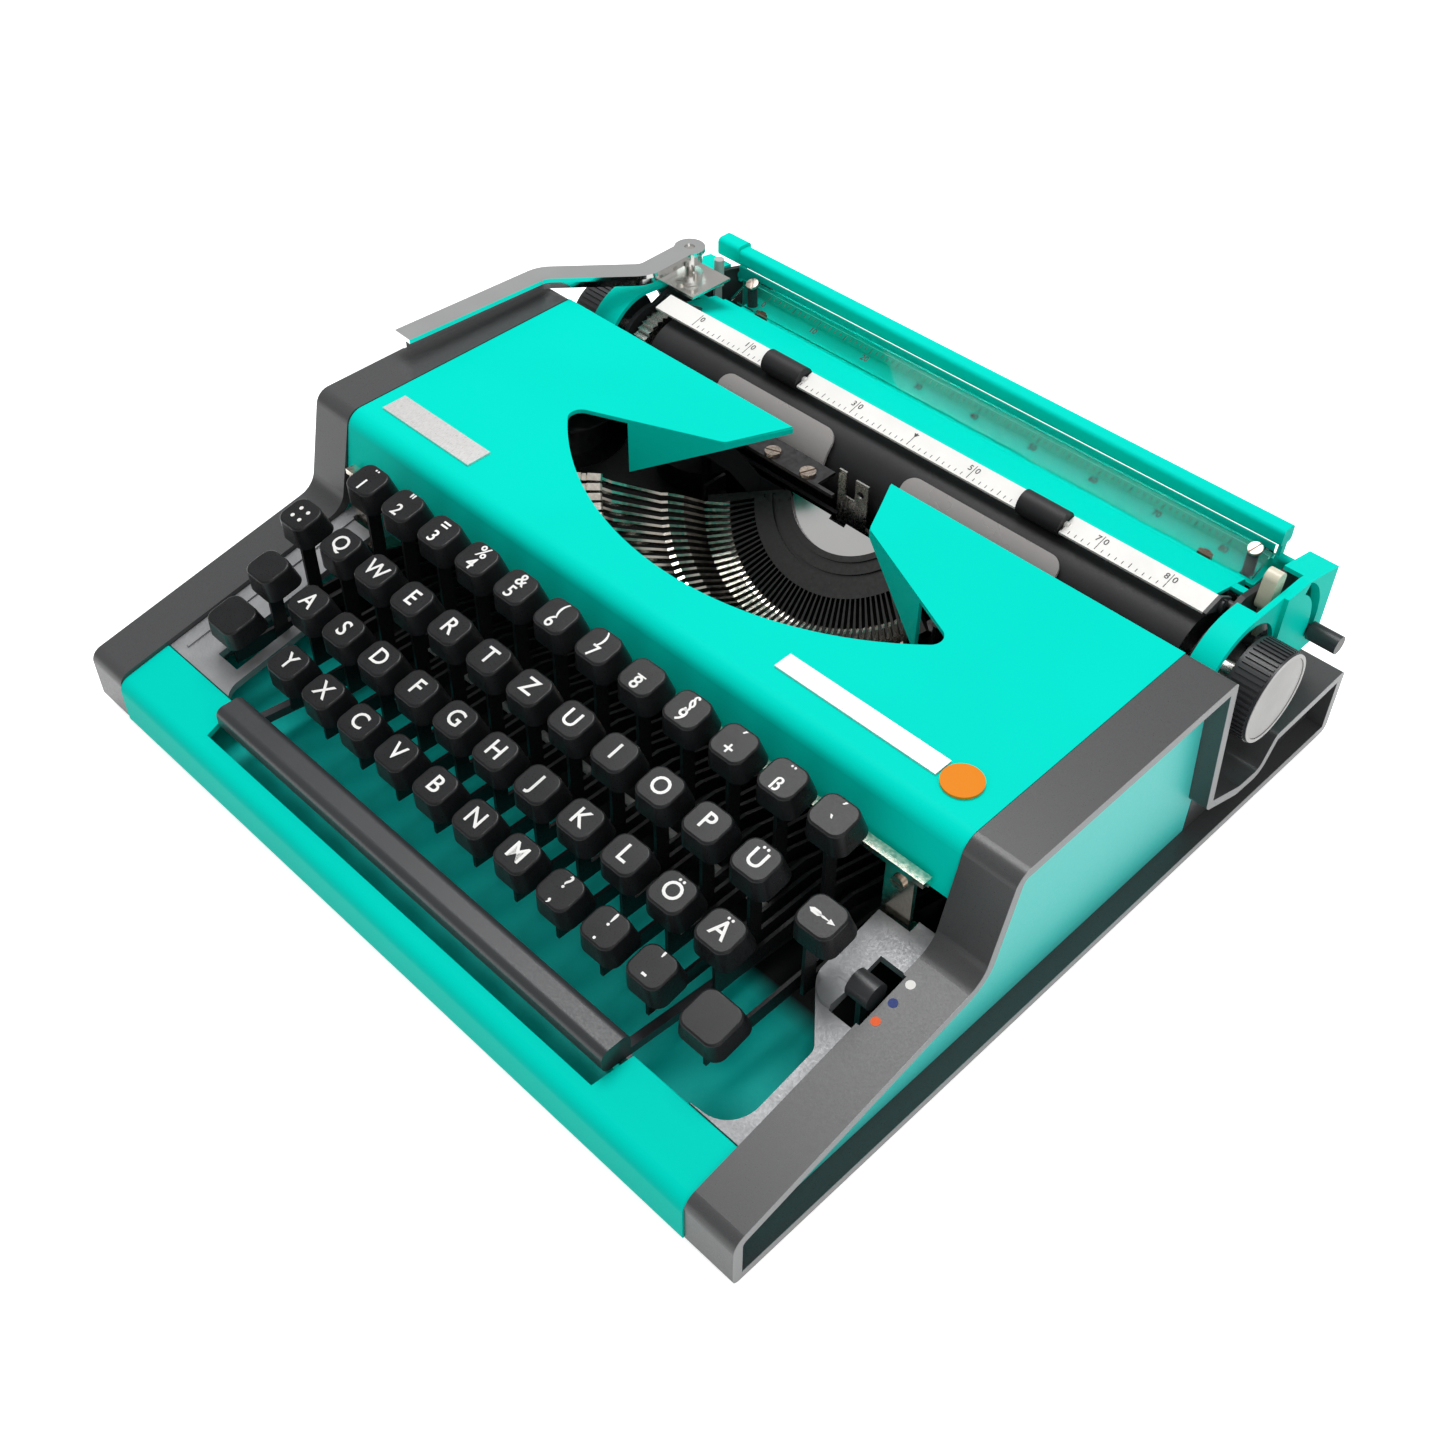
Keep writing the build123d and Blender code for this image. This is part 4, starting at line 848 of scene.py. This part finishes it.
class TYPEWRITER_OT_stage(bpy.types.Operator):
    """Set the floor, the lights and the camera"""

    bl_idname = "typewriter.stage"
    bl_label = "Stage"

    def execute(self, context):
        scene = context.scene
        deselect()
        bpy.ops.mesh.primitive_plane_add(size=6.0, location=(0.0, 0.0, -0.0002))
        floor = bpy.context.view_layer.objects.active
        floor.name = "floor"
        paper = Finish("white_floor")
        paper.colour((0.9, 0.9, 0.9))
        paper.rough(0.9)
        nodes, links = paper.nodes, paper.links
        path = nodes.new("ShaderNodeLightPath")
        seen = paper.math("MAXIMUM", path.outputs["Is Camera Ray"], path.outputs["Is Glossy Ray"])
        seen = paper.math("MAXIMUM", seen, path.outputs["Is Transmission Ray"])
        glow = nodes.new("ShaderNodeEmission")
        glow.inputs["Color"].default_value = (1.0, 1.0, 1.0, 1.0)
        glow.inputs["Strength"].default_value = 0.75
        both = nodes.new("ShaderNodeAddShader")
        pick = nodes.new("ShaderNodeMixShader")
        links.new(paper.shader.outputs[0], both.inputs[0])
        links.new(glow.outputs[0], both.inputs[1])
        links.new(seen, pick.inputs[0])
        links.new(paper.shader.outputs[0], pick.inputs[1])
        links.new(both.outputs[0], pick.inputs[2])
        links.new(pick.outputs[0], nodes["Material Output"].inputs["Surface"])
        floor.data.materials.append(paper.material)

        world = bpy.data.worlds.new("studio")
        scene.world = world
        world.use_nodes = True
        background = world.node_tree.nodes["Background"]
        background.inputs["Color"].default_value = (1.0, 1.0, 1.0, 1.0)
        background.inputs["Strength"].default_value = 0.45
        for name, spot, aim, width, power in (
            ("key_light", (-0.45, 0.4, 1.7), (0.0, 0.0, 0.05), 0.9, 19.0),
            ("fill_light", (1.1, -0.5, 1.3), (0.0, 0.0, 0.05), 1.2, 5.0),
        ):
            deselect()
            bpy.ops.object.light_add(type="AREA", location=spot)
            lamp = bpy.context.view_layer.objects.active
            lamp.name = name
            lamp.data.size = width
            lamp.data.energy = power
            lamp.rotation_euler = (Vector(aim) - Vector(spot)).to_track_quat("-Z", "Y").to_euler()

        turn = Matrix((CAMERA_RIGHT, CAMERA_UP, CAMERA_BACK)).transposed()
        deselect()
        bpy.ops.object.camera_add(location=CAMERA_PLACE, rotation=turn.to_euler())
        camera = bpy.context.view_layer.objects.active
        camera.name = "camera"
        camera.data.lens = LENS
        camera.data.sensor_width = 36.0
        camera.data.clip_start = 0.01
        scene.camera = camera
        scene.view_settings.view_transform = "Standard"
        return {"FINISHED"}


class TYPEWRITER_PT_panel(bpy.types.Panel):
    """The typewriter's steps and settings"""

    bl_label = "Typewriter"
    bl_idname = "TYPEWRITER_PT_panel"
    bl_space_type = "VIEW_3D"
    bl_region_type = "UI"
    bl_category = "Typewriter"

    def draw(self, context):
        layout = self.layout
        for step in STEPS:
            layout.operator(step.bl_idname)
        for group in (context.scene.typewriter_colours, context.scene.typewriter_sizes):
            for name in group.bl_rna.properties.keys():
                if name not in {"rna_type", "name"}:
                    layout.prop(group, name)


STEPS = (
    TYPEWRITER_OT_stage,
    TYPEWRITER_OT_finishes,
    TYPEWRITER_OT_legends,
    TYPEWRITER_OT_scales,
    TYPEWRITER_OT_selector_marks,
    TYPEWRITER_OT_scale_screws,
    TYPEWRITER_OT_support_apron,
)
CLASSES = (TypewriterColours, TypewriterSizes, *STEPS, TYPEWRITER_PT_panel)


def register():
    for item in CLASSES:
        bpy.utils.register_class(item)
    bpy.types.Scene.typewriter_colours = PointerProperty(type=TypewriterColours)
    bpy.types.Scene.typewriter_sizes = PointerProperty(type=TypewriterSizes)


def unregister():
    del bpy.types.Scene.typewriter_sizes
    del bpy.types.Scene.typewriter_colours
    for item in reversed(CLASSES):
        bpy.utils.unregister_class(item)


def main():
    """Take each step in order."""
    register()
    bpy.ops.typewriter.stage()
    bpy.ops.typewriter.finishes()
    bpy.ops.typewriter.legends()
    bpy.ops.typewriter.scales()
    bpy.ops.typewriter.selector_marks()
    bpy.ops.typewriter.scale_screws()
    bpy.ops.typewriter.support_apron()


if __name__ == "__main__":
    main()
